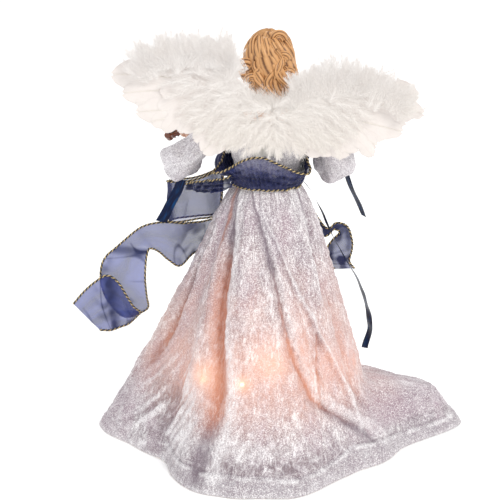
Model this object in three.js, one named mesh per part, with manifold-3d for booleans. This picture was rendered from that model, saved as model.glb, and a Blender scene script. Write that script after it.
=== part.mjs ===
// Angel tree topper. A hollow cone with ten push-in lamps stands inside a velvet gown. A torso form on
// the cone carries a cast head, two wired arms that hold a violin and its bow, and a bracket in which
// the wire frames of two feather wings turn. Millimetres, +Z up. The figure faces +Y.
import * as THREE from 'three';
import { mergeVertices } from 'three/addons/utils/BufferGeometryUtils.js';
import Module from 'manifold-3d';

// Fits
const fitGap = 0.3;
const cutOverrun = 2;
const clothWall = 1.6;

// Inner cone
const coneHeight = 250;
const coneFootRadius = 72;
const coneTopRadius = 25;
const coneWall = 1.8;
const coneRimWidth = 3.5;
const coneRimHeight = 2.5;
const conePlate = 2.5;

// Lamps
const lowLampHeight = 82;
const highLampHeight = 118;
const lowLampCount = 8;
const highLampCount = 2;
const lowLampStart = -107;
const highLampStart = -78;
const holderRadius = 3.8;
const holderFlangeRadius = 5.2;
const holderFlange = 1.4;
const holderInside = 13;
const holderOutside = 4;
const holderBoreDepth = 6;
const bulbBaseRadius = 2.2;
const bulbRadius = 2.8;
const bulbLength = 12;

// Torso and dowel
const torsoHeight = 72;
const waistRadius = 25;
const dowelRadius = 4;
const dowelTail = 8;
const neckEntry = 26;

// Head
const headRise = 48;
const headTurn = 25;
const headSide = 1;
const skullWidth = 17.5;
const skullDepth = 19;
const skullHeight = 22;
const neckRadius = 8.5;
const hairThickness = 4.5;
const hairDrop = 42;
const lockRadius = 3;
const lockCount = 11;

// Gown
const hemFlare = 46;
const hemReach = coneFootRadius + hemFlare;
const skirtDrop = 18;
const gatherPuff = 7;
const foldDepth = 9;
const sashHeight = 26;
const sashRuffle = 5;
const sashWaveShare = 0.12;
const knotHalfWidth = 9;
const knotHalfHeight = 12;

// Arms
const shoulderDrop = 12;
const wireRadius = 1.3;
const wristGrip = 7;
const handScale = 1.6;
const sleeveMouth = 18;
const sleeveShoulder = 9;
const sleeveStart = 3;
const armReach = 28;

// Violin and bow
const violinBodyLength = 54;
const violinNeckLength = 37;
const violinLength = violinBodyLength + violinNeckLength;
const violinHalfWidth = 16;
const violinThickness = 7;
const violinNeckWidth = 5;
const violinNeckDepth = 4.4;
const boardRise = 0.9;
const violinRoll = 52;
const scrollRadius = 4;
const bowRadius = 1;
const bowLength = 92;

// Wings
const wingSpan = 130;
const wingHinge = 8;
const bracketWidth = 26;
const bracketHeight = 24;
const bracketClearance = 3.5;
const bracketPlate = 2;
const bracketTubeWall = 1.3;
const frameWireRadius = 1;
const featherThickness = 0.8;
const featherPitch = 1.15;
const padHalfThickness = 3;
const padSettle = 1.5;
const trimHalfThickness = 6;
const trimRadius = 16;
const wingSweep = 0.12;

// Ribbons
const ribbonSpan = 100;
const organzaThickness = 1;
const satinThickness = 0.9;

const weldReach = 1e-4;

const wasm = await Module();
wasm.setup();

const vec = (x, y, z) => new THREE.Vector3(x, y, z);
const radians = THREE.MathUtils.degToRad;

// Keeps positions only, joins equal points and drops triangles that have lost their area.
function weld(geometry) {
  const bare = new THREE.BufferGeometry();
  bare.setAttribute('position', geometry.getAttribute('position'));
  if (geometry.index) bare.setIndex(geometry.index);
  const merged = mergeVertices(bare, weldReach);
  const kept = [];
  const index = merged.index.array;
  for (let i = 0; i < index.length; i += 3) {
    const [a, b, c] = [index[i], index[i + 1], index[i + 2]];
    if (a !== b && b !== c && c !== a) kept.push(a, b, c);
  }
  merged.setIndex(kept);
  return merged;
}

// Turns a closed geometry so that its faces point out.
function facingOut(geometry) {
  const welded = weld(geometry);
  const p = welded.getAttribute('position');
  const index = welded.index.array;
  const [a, b, c] = [vec(0, 0, 0), vec(0, 0, 0), vec(0, 0, 0)];
  let volume = 0;
  for (let i = 0; i < index.length; i += 3) {
    a.fromBufferAttribute(p, index[i]);
    b.fromBufferAttribute(p, index[i + 1]);
    c.fromBufferAttribute(p, index[i + 2]);
    volume += a.dot(b.cross(c));
  }
  if (volume < 0) {
    const turned = [];
    for (let i = 0; i < index.length; i += 3) turned.push(index[i], index[i + 2], index[i + 1]);
    welded.setIndex(turned);
  }
  welded.computeVertexNormals();
  return welded;
}

function solid(geometry) {
  const g = facingOut(geometry);
  const mesh = new wasm.Mesh({
    numProp: 3,
    vertProperties: new Float32Array(g.getAttribute('position').array),
    triVerts: new Uint32Array(g.index.array),
  });
  return new wasm.Manifold(mesh);
}

function geometryOf(manifold) {
  const mesh = manifold.getMesh();
  const g = new THREE.BufferGeometry();
  g.setAttribute('position', new THREE.BufferAttribute(new Float32Array(mesh.vertProperties), 3));
  g.setIndex([...mesh.triVerts]);
  g.computeVertexNormals();
  return g;
}

// Joins overlapping solids, and fills the small hollows that they seal between them.
function joined(geometries) {
  const skins = geometries.map(solid).reduce((a, b) => a.add(b)).decompose();
  return geometryOf(skins.reduce((a, b) => (b.volume() > a.volume() ? b : a)));
}

const cutBy = (body, ...tools) => geometryOf(tools.reduce((a, b) => a.subtract(solid(b)), solid(body)));

// Cuts, and keeps only the largest piece that is left.
const trimmed = (body, ...tools) => joined([cutBy(body, ...tools)]);

// A grid of points that closes on itself in both directions, such as a shell with two open ends.
function wrappedGrid(rows, columns, pointAt) {
  const points = [];
  const index = [];
  for (let r = 0; r < rows; r += 1) {
    for (let c = 0; c < columns; c += 1) {
      points.push(...pointAt(r, c).toArray());
      const [r2, c2] = [(r + 1) % rows, (c + 1) % columns];
      const [a, b] = [r * columns + c, r * columns + c2];
      const [d, e] = [r2 * columns + c, r2 * columns + c2];
      index.push(a, b, e, a, e, d);
    }
  }
  const g = new THREE.BufferGeometry();
  g.setAttribute('position', new THREE.Float32BufferAttribute(points, 3));
  g.setIndex(index);
  return facingOut(g);
}

// A body through rings of points, closed at both ends by fans.
function loft(rings) {
  const n = rings[0].length;
  const points = rings.flat().flatMap((p) => p.toArray());
  const index = [];
  for (let r = 0; r + 1 < rings.length; r += 1) {
    for (let c = 0; c < n; c += 1) {
      const [a, b] = [r * n + c, r * n + ((c + 1) % n)];
      index.push(a, b, b + n, a, b + n, a + n);
    }
  }
  const ends = [rings[0], rings[rings.length - 1]];
  ends.forEach((ring, end) => {
    const centre = ring.reduce((sum, p) => sum.add(p), vec(0, 0, 0)).divideScalar(n);
    const middle = points.length / 3;
    points.push(...centre.toArray());
    const first = end ? (rings.length - 1) * n : 0;
    for (let c = 0; c < n; c += 1) {
      const [a, b] = [first + c, first + ((c + 1) % n)];
      if (end) index.push(a, b, middle);
      else index.push(b, a, middle);
    }
  });
  const g = new THREE.BufferGeometry();
  g.setAttribute('position', new THREE.Float32BufferAttribute(points, 3));
  g.setIndex(index);
  return facingOut(g);
}

// Upright ellipse rings: each section is [height, half width, half depth, side shift, depth shift].
function ellipseRing([z, rx, ry, x = 0, y = 0], sides) {
  return Array.from({ length: sides }, (_, i) => {
    const a = (2 * Math.PI * i) / sides;
    return vec(x + rx * Math.cos(a), y + ry * Math.sin(a), z);
  });
}

const ellipseLoft = (sections, sides) => loft(sections.map((s) => ellipseRing(s, sides)));

// A round bar along points, whose radius follows radiusAt(share of its length).
function taperedBar(points, radiusAt, sides, steps) {
  const curve = points.length > 2 ? new THREE.CatmullRomCurve3(points) : new THREE.LineCurve3(...points);
  const frames = curve.computeFrenetFrames(steps, false);
  const rings = [];
  for (let i = 0; i <= steps; i += 1) {
    const centre = curve.getPointAt(i / steps);
    const radius = radiusAt(i / steps);
    rings.push(Array.from({ length: sides }, (_, k) => {
      const a = (2 * Math.PI * k) / sides;
      return centre.clone()
        .addScaledVector(frames.normals[i], radius * Math.cos(a))
        .addScaledVector(frames.binormals[i], radius * Math.sin(a));
    }));
  }
  return loft(rings);
}

// A wire of one radius along a curve.
function wireAlong(curve, radius, sides, steps) {
  const section = new THREE.Shape();
  section.absarc(0, 0, radius, 0, 2 * Math.PI);
  return new THREE.ExtrudeGeometry(section, {
    curveSegments: sides / 2,
    steps,
    bevelEnabled: false,
    extrudePath: curve,
  });
}

// A flat strip between two edge curves.
function strip(oneEdge, otherEdge, thickness, steps) {
  const a = new THREE.CatmullRomCurve3(oneEdge);
  const b = new THREE.CatmullRomCurve3(otherEdge);
  const middle = (t) => a.getPoint(t).add(b.getPoint(t)).multiplyScalar(0.5);
  const rings = [];
  for (let i = 0; i <= steps; i += 1) {
    const t = i / steps;
    const [p, q] = [a.getPoint(t), b.getPoint(t)];
    const along = middle(Math.min(1, t + 0.01)).sub(middle(Math.max(0, t - 0.01)));
    const up = along.cross(q.clone().sub(p)).normalize().multiplyScalar(thickness / 2);
    rings.push([p.clone().add(up), q.clone().add(up), q.clone().sub(up), p.clone().sub(up)]);
  }
  return loft(rings);
}

const ball = (rx, ry, rz, x, y, z, around = 14, down = 10) =>
  new THREE.SphereGeometry(1, around, down).scale(rx, ry, rz).translate(x, y, z);

const rod = (radius, from, to, sides) => taperedBar([from, to], () => radius, sides, 1);

const angel = new THREE.Group();

function addMesh(parent, name, geometry, colour, roughness, metalness = 0) {
  const material = new THREE.MeshStandardMaterial({ color: colour, roughness, metalness });
  const mesh = new THREE.Mesh(geometry, material);
  mesh.name = name;
  parent.add(mesh);
  return mesh;
}

// Inner cone: an open foot with a flat rim, and a top plate bored for the dowel.
const coneSlope = Math.atan2(coneFootRadius - coneTopRadius, coneHeight);
const coneRadiusAt = (z) => coneFootRadius + ((coneTopRadius - coneFootRadius) * z) / coneHeight;

function onCone(angleDegrees, height) {
  const place = new THREE.Group();
  const a = radians(angleDegrees);
  const r = coneRadiusAt(height);
  place.position.set(r * Math.cos(a), r * Math.sin(a), height);
  const out = vec(
    Math.cos(coneSlope) * Math.cos(a),
    Math.cos(coneSlope) * Math.sin(a),
    Math.sin(coneSlope),
  );
  place.quaternion.setFromUnitVectors(vec(0, 1, 0), out);
  place.updateMatrix();
  return place;
}

// A level ring of lamps, each an angle and a height.
const lampRing = (count, start, height) =>
  Array.from({ length: count }, (_, i) => [start + (360 * i) / count, height]);

const lampPlaces = [
  ...lampRing(lowLampCount, lowLampStart, lowLampHeight),
  ...lampRing(highLampCount, highLampStart, highLampHeight),
];

function innerCone() {
  const bore = dowelRadius + fitGap;
  const top = coneHeight - conePlate;
  const profile = [
    [coneFootRadius - coneWall, 0],
    [coneFootRadius + coneRimWidth, 0],
    [coneFootRadius + coneRimWidth, coneRimHeight],
    [coneRadiusAt(coneRimHeight), coneRimHeight],
    [coneTopRadius, coneHeight],
    [bore, coneHeight],
    [bore, top],
    [coneRadiusAt(top) - coneWall, top],
    [coneFootRadius - coneWall, 0],
  ].map(([r, z]) => new THREE.Vector2(r, z));
  const wall = new THREE.LatheGeometry(profile, 36).rotateX(Math.PI / 2);
  const reach = 2 * coneWall + cutOverrun;
  const holes = lampPlaces.map(([a, z]) => {
    const tool = new THREE.CylinderGeometry(holderRadius + fitGap, holderRadius + fitGap, 2 * reach, 10);
    return tool.applyMatrix4(onCone(a, z).matrix);
  });
  return cutBy(wall, ...holes);
}

addMesh(angel, 'inner_cone', innerCone(), 0xf2efe8, 0.45);

function lampHolder() {
  const bore = bulbBaseRadius + fitGap;
  const sag = (holderFlangeRadius ** 2) / (2 * coneRadiusAt(highLampHeight));
  const flangeTop = -coneWall - fitGap - sag;
  const profile = [
    [0, -holderInside],
    [holderRadius, -holderInside],
    [holderRadius, flangeTop - holderFlange],
    [holderFlangeRadius, flangeTop - holderFlange],
    [holderFlangeRadius, flangeTop],
    [holderRadius, flangeTop],
    [holderRadius, holderOutside],
    [bore, holderOutside],
    [bore, holderOutside - holderBoreDepth],
    [0, holderOutside - holderBoreDepth],
  ].map(([r, y]) => new THREE.Vector2(r, y));
  return facingOut(new THREE.LatheGeometry(profile, 7));
}

function lampBulb() {
  const low = holderOutside - holderBoreDepth + fitGap;
  const tip = holderOutside + bulbLength;
  const swellShare = 0.28;
  const shoulderShare = 0.62;
  const neckShare = 0.9;
  const profile = [
    [0, low],
    [bulbBaseRadius, low],
    [bulbBaseRadius, holderOutside + fitGap],
    [bulbRadius, holderOutside + bulbLength * swellShare],
    [bulbRadius, holderOutside + bulbLength * shoulderShare],
    [bulbRadius / 2, holderOutside + bulbLength * neckShare],
    [0, tip],
  ].map(([r, y]) => new THREE.Vector2(r, y));
  return facingOut(new THREE.LatheGeometry(profile, 7));
}

lampPlaces.forEach(([a, z], i) => {
  const place = onCone(a, z);
  angel.add(place);
  addMesh(place, `lamp_holder_${i + 1}`, lampHolder(), 0xeef3ee, 0.4);
  addMesh(place, `bulb_${i + 1}`, lampBulb(), 0xfff0cc, 0.1);
});

// Torso: half width and half depth at shares of its height, as shares of the waist radius.
const torsoFoot = coneHeight + fitGap;
const torsoTop = torsoFoot + torsoHeight;
const torsoShares = [
  [0, 1, 1],
  [0.14, 0.98, 0.98],
  [0.3, 1.06, 0.97],
  [0.52, 1.24, 1.02],
  [0.74, 1.36, 1.04],
  [0.9, 1.22, 0.88],
  [1, 0.94, 0.62],
];

function torsoRadiiAt(z) {
  const share = (z - torsoFoot) / torsoHeight;
  const last = torsoShares.length - 1;
  let k = 0;
  while (k < last - 1 && torsoShares[k + 1][0] < share) k += 1;
  const [[s0, w0, d0], [s1, w1, d1]] = [torsoShares[k], torsoShares[k + 1]];
  const t = (share - s0) / (s1 - s0);
  return [waistRadius * (w0 + (w1 - w0) * t), waistRadius * (d0 + (d1 - d0) * t)];
}

const torsoSides = 24;

function torsoForm() {
  const sections = torsoShares.map(([s, w, d]) => [
    torsoFoot + torsoHeight * s,
    waistRadius * w,
    waistRadius * d,
  ]);
  const bore = rod(
    dowelRadius + fitGap,
    vec(0, 0, torsoFoot - cutOverrun),
    vec(0, 0, torsoTop + cutOverrun),
    16,
  );
  return cutBy(ellipseLoft(sections, torsoSides), bore);
}

addMesh(angel, 'torso_form', torsoForm(), 0xe9e4da, 0.9);

const dowelFoot = coneHeight - conePlate - dowelTail;
const dowelTop = torsoTop + neckEntry;
addMesh(angel, 'neck_dowel', rod(dowelRadius, vec(0, 0, dowelFoot), vec(0, 0, dowelTop), 16), 0xc9a877, 0.7);

// Bodice: a sewn shell round the torso, from inside the skirt's waistband to below the shoulders.
const waistHeight = coneHeight + skirtDrop;
const bodiceShares = [0.16, 0.3, 0.52, 0.74, 0.9, 0.96];

function bodice() {
  const levels = bodiceShares.map((s) => torsoFoot + torsoHeight * s);
  const outer = levels.map((z) => [z, fitGap + clothWall]);
  const inner = [...levels].reverse().map((z) => [z, fitGap]);
  const rows = [...outer, ...inner];
  return wrappedGrid(rows.length, torsoSides, (r, c) => {
    const [z, out] = rows[r];
    const [rx, ry] = torsoRadiiAt(z);
    const a = (2 * Math.PI * c) / torsoSides;
    return vec((rx + out) * Math.cos(a), (ry + out) * Math.sin(a), z);
  });
}

addMesh(angel, 'bodice', bodice(), 0xe6e6ee, 0.6);

// Skirt. Hem: angle from +X, reach and train as shares of the hem reach, and the power of the fall's curve.
const hemShares = [
  [0, 0.93, 1, 0.34],
  [12, 0.95, 1, 0.7],
  [24, 0.96, 1, 0.55],
  [40, 0.98, 1, 0.24],
  [65, 1, 1.05, 0.03],
  [90, 0.97, 1, 0],
  [120, 1.03, 1, 0],
  [145, 1.2, 1, 0],
  [163, 1.42, 1.15, 0],
  [172, 1.36, 1.1, 0],
  [184, 1.1, 1, 0],
  [196, 0.96, 0.95, 0],
  [206, 0.9, 0.95, 0],
  [221, 0.96, 0.95, 0],
  [237, 1.06, 1, 0],
  [250, 1.02, 0.95, 0],
  [265, 1, 0.95, 0],
  [285, 0.995, 0.95, 0],
  [305, 0.9, 0.95, 0],
  [322, 0.9, 1.05, 0],
  [340, 0.95, 1.05, 0.06],
  [352, 0.93, 1, 0.17],
];

// The train stands out as a low shelf: where it starts, where its ridge is, and its reach at the ridge.
const trainStartShare = 0.75;
const trainRidgeShare = 0.86;
const trainRidgeReachShare = 0.82;

// Main folds: angle at the waist, angle at the hem, depth as a share (valleys below zero), width.
const foldShares = [
  [228, 236, -1.1, 9],
  [243, 255, 0.5, 9],
  [250, 300, -0.55, 8],
  [270, 288, 0.45, 9],
  [292, 322, -0.5, 8],
  [305, 338, 0.45, 9],
  [330, 352, -0.5, 9],
  [350, 12, 0.3, 10],
  [12, 30, -0.6, 10],
  [40, 48, 0.5, 10],
  [62, 66, -0.8, 10],
  [85, 88, 0.6, 11],
  [108, 110, -0.8, 10],
  [130, 132, 0.5, 10],
  [152, 150, -0.5, 9],
  [172, 176, -0.3, 8],
  [190, 190, 0.5, 8],
  [204, 208, -0.6, 8],
  [216, 221, 0.6, 8],
];

// Smooth cyclic interpolation of a table whose first column is an angle in degrees.
function cyclic(table, column, angleDegrees) {
  const n = table.length;
  const at = ((angleDegrees % 360) + 360) % 360;
  let k = n - 1;
  while (k > 0 && table[k][0] > at) k -= 1;
  const next = table[(k + 1) % n];
  const span = (next[0] - table[k][0] + 360) % 360;
  const t = (at - table[k][0]) / span;
  const [p0, p1] = [table[(k + n - 1) % n][column], table[k][column]];
  const [p2, p3] = [next[column], table[(k + 2) % n][column]];
  const bend = 2 * p0 - 5 * p1 + 4 * p2 - p3;
  return p1 + 0.5 * t * (p2 - p0 + t * (bend + t * (3 * (p1 - p2) + p3 - p0)));
}

const skirtTopRadius = Math.max(...torsoRadiiAt(waistHeight)) + 2 * fitGap + 2 * clothWall;
const sashFoot = waistHeight - skirtDrop / 3;

// The waistband is straight down to just below the sash.
const bandShare = (waistHeight - sashFoot + clothWall) / waistHeight;

function foldAt(angleDegrees, t) {
  let sum = 0;
  for (const [from, to, depth, width] of foldShares) {
    const swing = ((to - from + 540) % 360) - 180;
    const centre = from + swing * t;
    const off = (((angleDegrees - centre + 540) % 360) + 360) % 360 - 180;
    sum += depth * Math.exp(-((off / width) ** 2));
  }
  return sum;
}

// Outer radius of the skirt at an angle and a share of the way from waist to hem.
function skirtRadius(angleDegrees, heightShare) {
  const t = Math.max(0, (heightShare - bandShare) / (1 - bandShare));
  const climb = THREE.MathUtils.smoothstep(t, trainStartShare, trainRidgeShare) * trainRidgeReachShare;
  const beyond = Math.max(0, (t - trainRidgeShare) / (1 - trainRidgeShare)) * (1 - trainRidgeReachShare);
  const train = hemReach * Math.max(0, cyclic(hemShares, 3, angleDegrees)) * (climb + beyond);
  const reach = hemReach * cyclic(hemShares, 1, angleDegrees);
  const power = cyclic(hemShares, 2, angleDegrees);
  const flareShare = 0.06;
  const puff = gatherPuff * (1 - Math.exp(-t / flareShare)) * (1 - t);
  const fade = Math.min(1, t * 3) * (1 - 0.45 * t);
  const folds = foldDepth * fade * foldAt(angleDegrees, t);
  return skirtTopRadius + (reach - skirtTopRadius) * t ** power + puff + folds + train;
}

function skirt() {
  const columns = 52;
  const flareShares = [0, 0.06, 0.16, 0.3, 0.45, 0.6, 0.7, 0.745, 0.79, 0.87, 1];
  const levelShares = [0, ...flareShares.map((t) => bandShare + (1 - bandShare) * t)];
  const outer = levelShares.map((t) => [t, 0]);
  const inner = [...levelShares].reverse().map((t) => [t, clothWall]);
  const rows = [...outer, ...inner];
  return wrappedGrid(rows.length, columns, (r, c) => {
    const [t, inset] = rows[r];
    const degrees = (360 * c) / columns;
    const radius = skirtRadius(degrees, t) - inset;
    const a = radians(degrees);
    const drop = t > 0 && t < 1 ? inset * 0.6 : 0;
    return vec(radius * Math.cos(a), radius * Math.sin(a), waistHeight * (1 - t) - drop);
  });
}

addMesh(angel, 'skirt', skirt(), 0xdcd8e0, 0.55);

// Sash: a gathered band over the skirt's waistband, its top edge waved. Grown, it cuts what touches it.
const sashInner = skirtTopRadius + fitGap;
const sashCrest = sashFoot + sashHeight * (1 + sashWaveShare);

function sash(grow) {
  const columns = 50;
  const heightShares = [0, 0.3, 0.65, 1];
  const rows = [...heightShares.map((s) => [s, 1]), ...[...heightShares].reverse().map((s) => [s, 0])];
  return wrappedGrid(rows.length, columns, (r, c) => {
    const [s, side] = rows[r];
    const a = (2 * Math.PI * c) / columns;
    const wave = 0.5 + 0.5 * Math.sin(5 * a);
    const lean = s * sashRuffle * (0.6 + 0.5 * wave);
    const bulge = 1.5 * clothWall + sashRuffle * Math.sin(Math.PI * s) * (0.35 + 0.3 * wave);
    const radius = sashInner + lean + (side ? bulge + grow : -grow);
    const rise = sashHeight * s * (1 + sashWaveShare * Math.sin(3 * a + 1));
    const ends = [0, 1].includes(s) ? grow * (2 * s - 1) : 0;
    return vec(radius * Math.cos(a), radius * Math.sin(a), sashFoot + rise + ends);
  });
}

addMesh(angel, 'waist_sash', sash(0), 0x1c2350, 0.6);

// Head casting: bust plate, neck, skull and moulded hair in one piece, turned towards the violin.
const headCentre = vec(headSide, 0, torsoTop + headRise);
const toHead = new THREE.Matrix4()
  .makeRotationZ(radians(headTurn))
  .setPosition(headCentre);

const hairWidth = skullWidth + hairThickness;
const hairDepth = skullDepth + hairThickness;
const hairHeight = skullHeight + 2 * hairThickness;

// A point on the hair: azimuth from the back of the head, and share of the way from crown to tip.
function hairPoint(azimuth, share, out) {
  const capShare = 0.48;
  const side = Math.sin(azimuth);
  const back = Math.cos(azimuth);
  if (share < capShare) {
    const polar = (share / capShare) * (Math.PI / 2);
    const low = Math.sin(polar);
    return vec(
      (hairWidth + out) * low * side,
      -(hairDepth + out) * low * back,
      (hairHeight + out) * Math.cos(polar),
    );
  }
  const fall = (share - capShare) / (1 - capShare);
  const narrow = 1 - 0.42 * fall ** 1.6;
  const drop = hairDrop * (0.5 + 0.5 * Math.max(0, back)) * fall;
  const lean = hairDepth * 0.12 * fall;
  return vec((hairWidth + out) * narrow * side, -(hairDepth + out) * narrow * back - lean, -drop);
}

function hairLock(index) {
  const spread = -1.75 + (3.5 * index) / (lockCount - 1);
  const points = Array.from({ length: 9 }, (_, k) => {
    const share = 0.06 + (0.94 * k) / 8;
    const wave = 0.14 * Math.sin(1.7 * index + 1.15 * k) * share;
    return hairPoint(spread + wave, share, lockRadius * 0.25 * Math.sin(2 * index + 1.4 * k));
  });
  const taperShare = 0.35;
  return taperedBar(points, (t) => lockRadius * (1 - taperShare * t), 5, 7);
}

function hairBody() {
  const levelShares = [0.12, 0.3, 0.48, 0.66, 0.84, 1];
  const sides = 14;
  const backHalf = Math.PI * 0.62;
  const rings = levelShares.map((share) => {
    const arc = Array.from({ length: sides }, (_, k) => {
      const azimuth = -backHalf + (2 * backHalf * k) / (sides - 1);
      return hairPoint(azimuth, share, -lockRadius / 2);
    });
    return arc;
  });
  return loft(rings);
}

function headCasting() {
  const plateShares = [
    [0, 1, 0.62],
    [0.16, 0.98, 0.6],
    [0.36, 0.66, 0.5],
    [0.5, 0.36, 0.36],
  ];
  const plateHeight = headRise - skullHeight + hairThickness;
  const plate = plateShares.map(([s, w, d]) => [
    torsoTop + fitGap + plateHeight * s,
    waistRadius * w,
    waistRadius * d,
  ]);
  const neck = [
    [torsoTop + plateHeight * 0.4, neckRadius, neckRadius],
    [headCentre.z - skullHeight * 0.3, neckRadius, neckRadius],
  ];
  const jawDrop = skullHeight * 0.55;
  const nosePlace = [0, skullDepth * 0.98, -skullHeight * 0.18];
  const topCurlPlace = [hairWidth * 0.42, -hairDepth * 0.5, hairHeight * 0.72];
  const headParts = [
    ball(skullWidth, skullDepth, skullHeight, 0, 0, 0, 14, 9),
    ball(skullWidth * 0.62, skullDepth * 0.62, skullHeight * 0.5, 0, skullDepth * 0.42, -jawDrop, 12, 8),
    ball(skullWidth * 0.13, skullDepth * 0.17, skullHeight * 0.16, ...nosePlace, 6, 4),
    hairBody(),
    ball(hairWidth * 0.42, hairDepth * 0.4, hairHeight * 0.3, ...topCurlPlace, 8, 6),
    ...Array.from({ length: lockCount }, (_, i) => hairLock(i)),
  ].map((g) => g.applyMatrix4(toHead));
  const casting = joined([ellipseLoft(plate, 18), ellipseLoft(neck, 12), ...headParts]);
  const bore = rod(
    dowelRadius + fitGap,
    vec(0, 0, torsoTop - cutOverrun),
    vec(0, 0, dowelTop + fitGap),
    16,
  );
  return cutBy(casting, bore);
}

addMesh(angel, 'head_casting', headCasting(), 0xc98a4b, 0.5);

// Arms. Each runs straight out from a shoulder, bends to the sleeve's mouth and goes on to the wrist.
const shoulderHeight = torsoTop - shoulderDrop;
const shoulderOut = torsoRadiiAt(shoulderHeight - wireRadius)[0] + clothWall + 2 * fitGap;

// Violin: its axis runs from the chin end to the scroll, and its top leans forward by the roll.
const violinChin = vec(-waistRadius * 0.48, waistRadius * 1.4, torsoTop + violinThickness);
const violinTowardsShares = [-0.905, 0.077, -0.419];
const violinAxis = vec(...violinTowardsShares).normalize();
const violinAcross = vec(0, 1, 0).cross(violinAxis).normalize();

function violinFrame() {
  const roll = radians(violinRoll);
  const level = violinAxis.clone().cross(violinAcross).normalize();
  const top = violinAcross.clone().multiplyScalar(Math.cos(roll)).addScaledVector(level, -Math.sin(roll));
  if (top.z < 0) top.negate();
  if (top.y < 0) top.addScaledVector(level, 2 * Math.sin(roll));
  const width = top.clone().cross(violinAxis).normalize();
  return new THREE.Matrix4().makeBasis(violinAxis, width, top).setPosition(violinChin);
}

const toViolin = violinFrame();
const handShareAlong = 0.76;
const boardTop = violinThickness / 2 + boardRise;
const neckMiddle = (boardTop - violinNeckDepth / 2) / 2;
const leftHold = vec(violinLength * handShareAlong, 0, neckMiddle).applyMatrix4(toViolin);
const bowHold = vec(waistRadius * 1.68, waistRadius * 2.2, torsoTop - bowLength * 0.33);
const bowTip = vec(-waistRadius * 1.6, waistRadius * 2.02, torsoTop + bowLength * 0.02);
const bowUpShares = [0, 0.4, 1];

// Control points of each arm's curve, as shares of the reach from its shoulder.
const armShares = {
  left: [[0, 0, 0], [-0.8, 0, 0], [-1.6, -0.4, -0.8], [-1.6, 0.55, -1.18]],
  right: [[0, 0, 0], [0.8, 0, 0], [1.33, -0.15, -1.09], [0.9, 0.85, -1.37]],
};
const armHolds = { left: leftHold, right: bowHold };

function armCurve(side) {
  const sign = side === 'left' ? -1 : 1;
  const start = vec(sign * shoulderOut, 0, shoulderHeight);
  const points = armShares[side].map((shares) => vec(...shares).multiplyScalar(armReach).add(start));
  return { mouth: points[3], curve: new THREE.CubicBezierCurve3(...points) };
}

// Hand that grips a rod along local X from below: palm, four curled fingers, thumb and wrist stub.
function grippingHand(grip, toWrist, frame) {
  const finger = 1.15 * handScale;
  const palmRise = 1.5 * handScale;
  const ring = grip + finger + fitGap;
  const arc = (x, from, to) => {
    const points = Array.from({ length: 6 }, (_, k) => {
      const a = radians(from + ((to - from) * k) / 5);
      return vec(x, ring * Math.cos(a), ring * Math.sin(a));
    });
    return taperedBar(points, (t) => finger * (1 - 0.25 * t), 4, 5);
  };
  const parts = [
    ball(4.1 * handScale, 3 * handScale, palmRise, 0, -handScale, -(grip + palmRise + fitGap), 8, 5),
    ...[-1.5, -0.5, 0.5, 1.5].map((k) => arc(k * 2 * finger * 0.95, -100, -100 + 230)),
    arc(-2.2 * finger, 250, 110),
  ].map((g) => g.applyMatrix4(frame));
  const palm = vec(0, -handScale, -(grip + palmRise + fitGap)).applyMatrix4(frame);
  const stub = taperedBar([palm, toWrist], (t) => handScale * (2 - 0.1 * t), 8, 1);
  return joined([...parts, stub]);
}

function frameAt(centre, along, up) {
  const x = along.clone().normalize();
  const y = up.clone().cross(x).normalize();
  const z = x.clone().cross(y).normalize();
  return new THREE.Matrix4().makeBasis(x, y, z).setPosition(centre);
}

function armWire(side, wrist, inside) {
  const { mouth, curve } = armCurve(side);
  const bent = [0, 0.08, 0.16, 0.25, 0.4, 0.55, 0.7, 0.85].map((t) => curve.getPoint(t));
  const straight = [0.2, 0.45, 0.7].map((t) => mouth.clone().lerp(wrist, t));
  const path = new THREE.CatmullRomCurve3([...bent, ...straight, wrist, inside]);
  return wireAlong(path, wireRadius, 6, 24);
}

// Sleeve: a soft bell, closed round the wire at the shoulder. Grown, it cuts what hangs from it.
function sleeve(side, grow) {
  const { curve } = armCurve(side);
  const length = curve.getLength();
  const startShare = sleeveStart / length;
  const growShare = grow / length;
  const swellShares = [[0.3, 0.7], [0.6, 0.8], [0.85, 1], [1, 1.04]];
  const grownShare = (s) => (s < 1 ? s : s + growShare);
  const outer = swellShares.map(([s, w]) => [grownShare(s), sleeveMouth * w + grow]);
  const inner = [...outer].reverse().map(([s, radius]) => [s, radius - clothWall - 2 * grow]);
  const profile = [
    [startShare - growShare, wireRadius + fitGap],
    [startShare - growShare, sleeveShoulder + grow],
    ...outer,
    ...inner,
    [startShare + clothWall / length + growShare, sleeveShoulder - clothWall - grow],
    [startShare + clothWall / length + growShare, wireRadius + fitGap],
  ];
  const sides = 18;
  return wrappedGrid(profile.length, sides, (r, c) => {
    const [share, radius] = profile[r];
    const at = Math.min(share, 1);
    const along = curve.getTangentAt(at);
    const centre = curve.getPointAt(at).addScaledVector(along, (share - at) * length);
    const across = vec(0, 0, 1).cross(along).normalize();
    const up = along.clone().cross(across).normalize();
    const a = (2 * Math.PI * c) / sides;
    const soft = radius > 2 * wireRadius ? radius * (1 + 0.07 * at * Math.sin(4 * a)) : radius;
    return centre.addScaledVector(across, soft * Math.cos(a)).addScaledVector(up, soft * Math.sin(a));
  });
}

const leftArm = new THREE.Group();
const rightArm = new THREE.Group();
angel.add(leftArm, rightArm);

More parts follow.
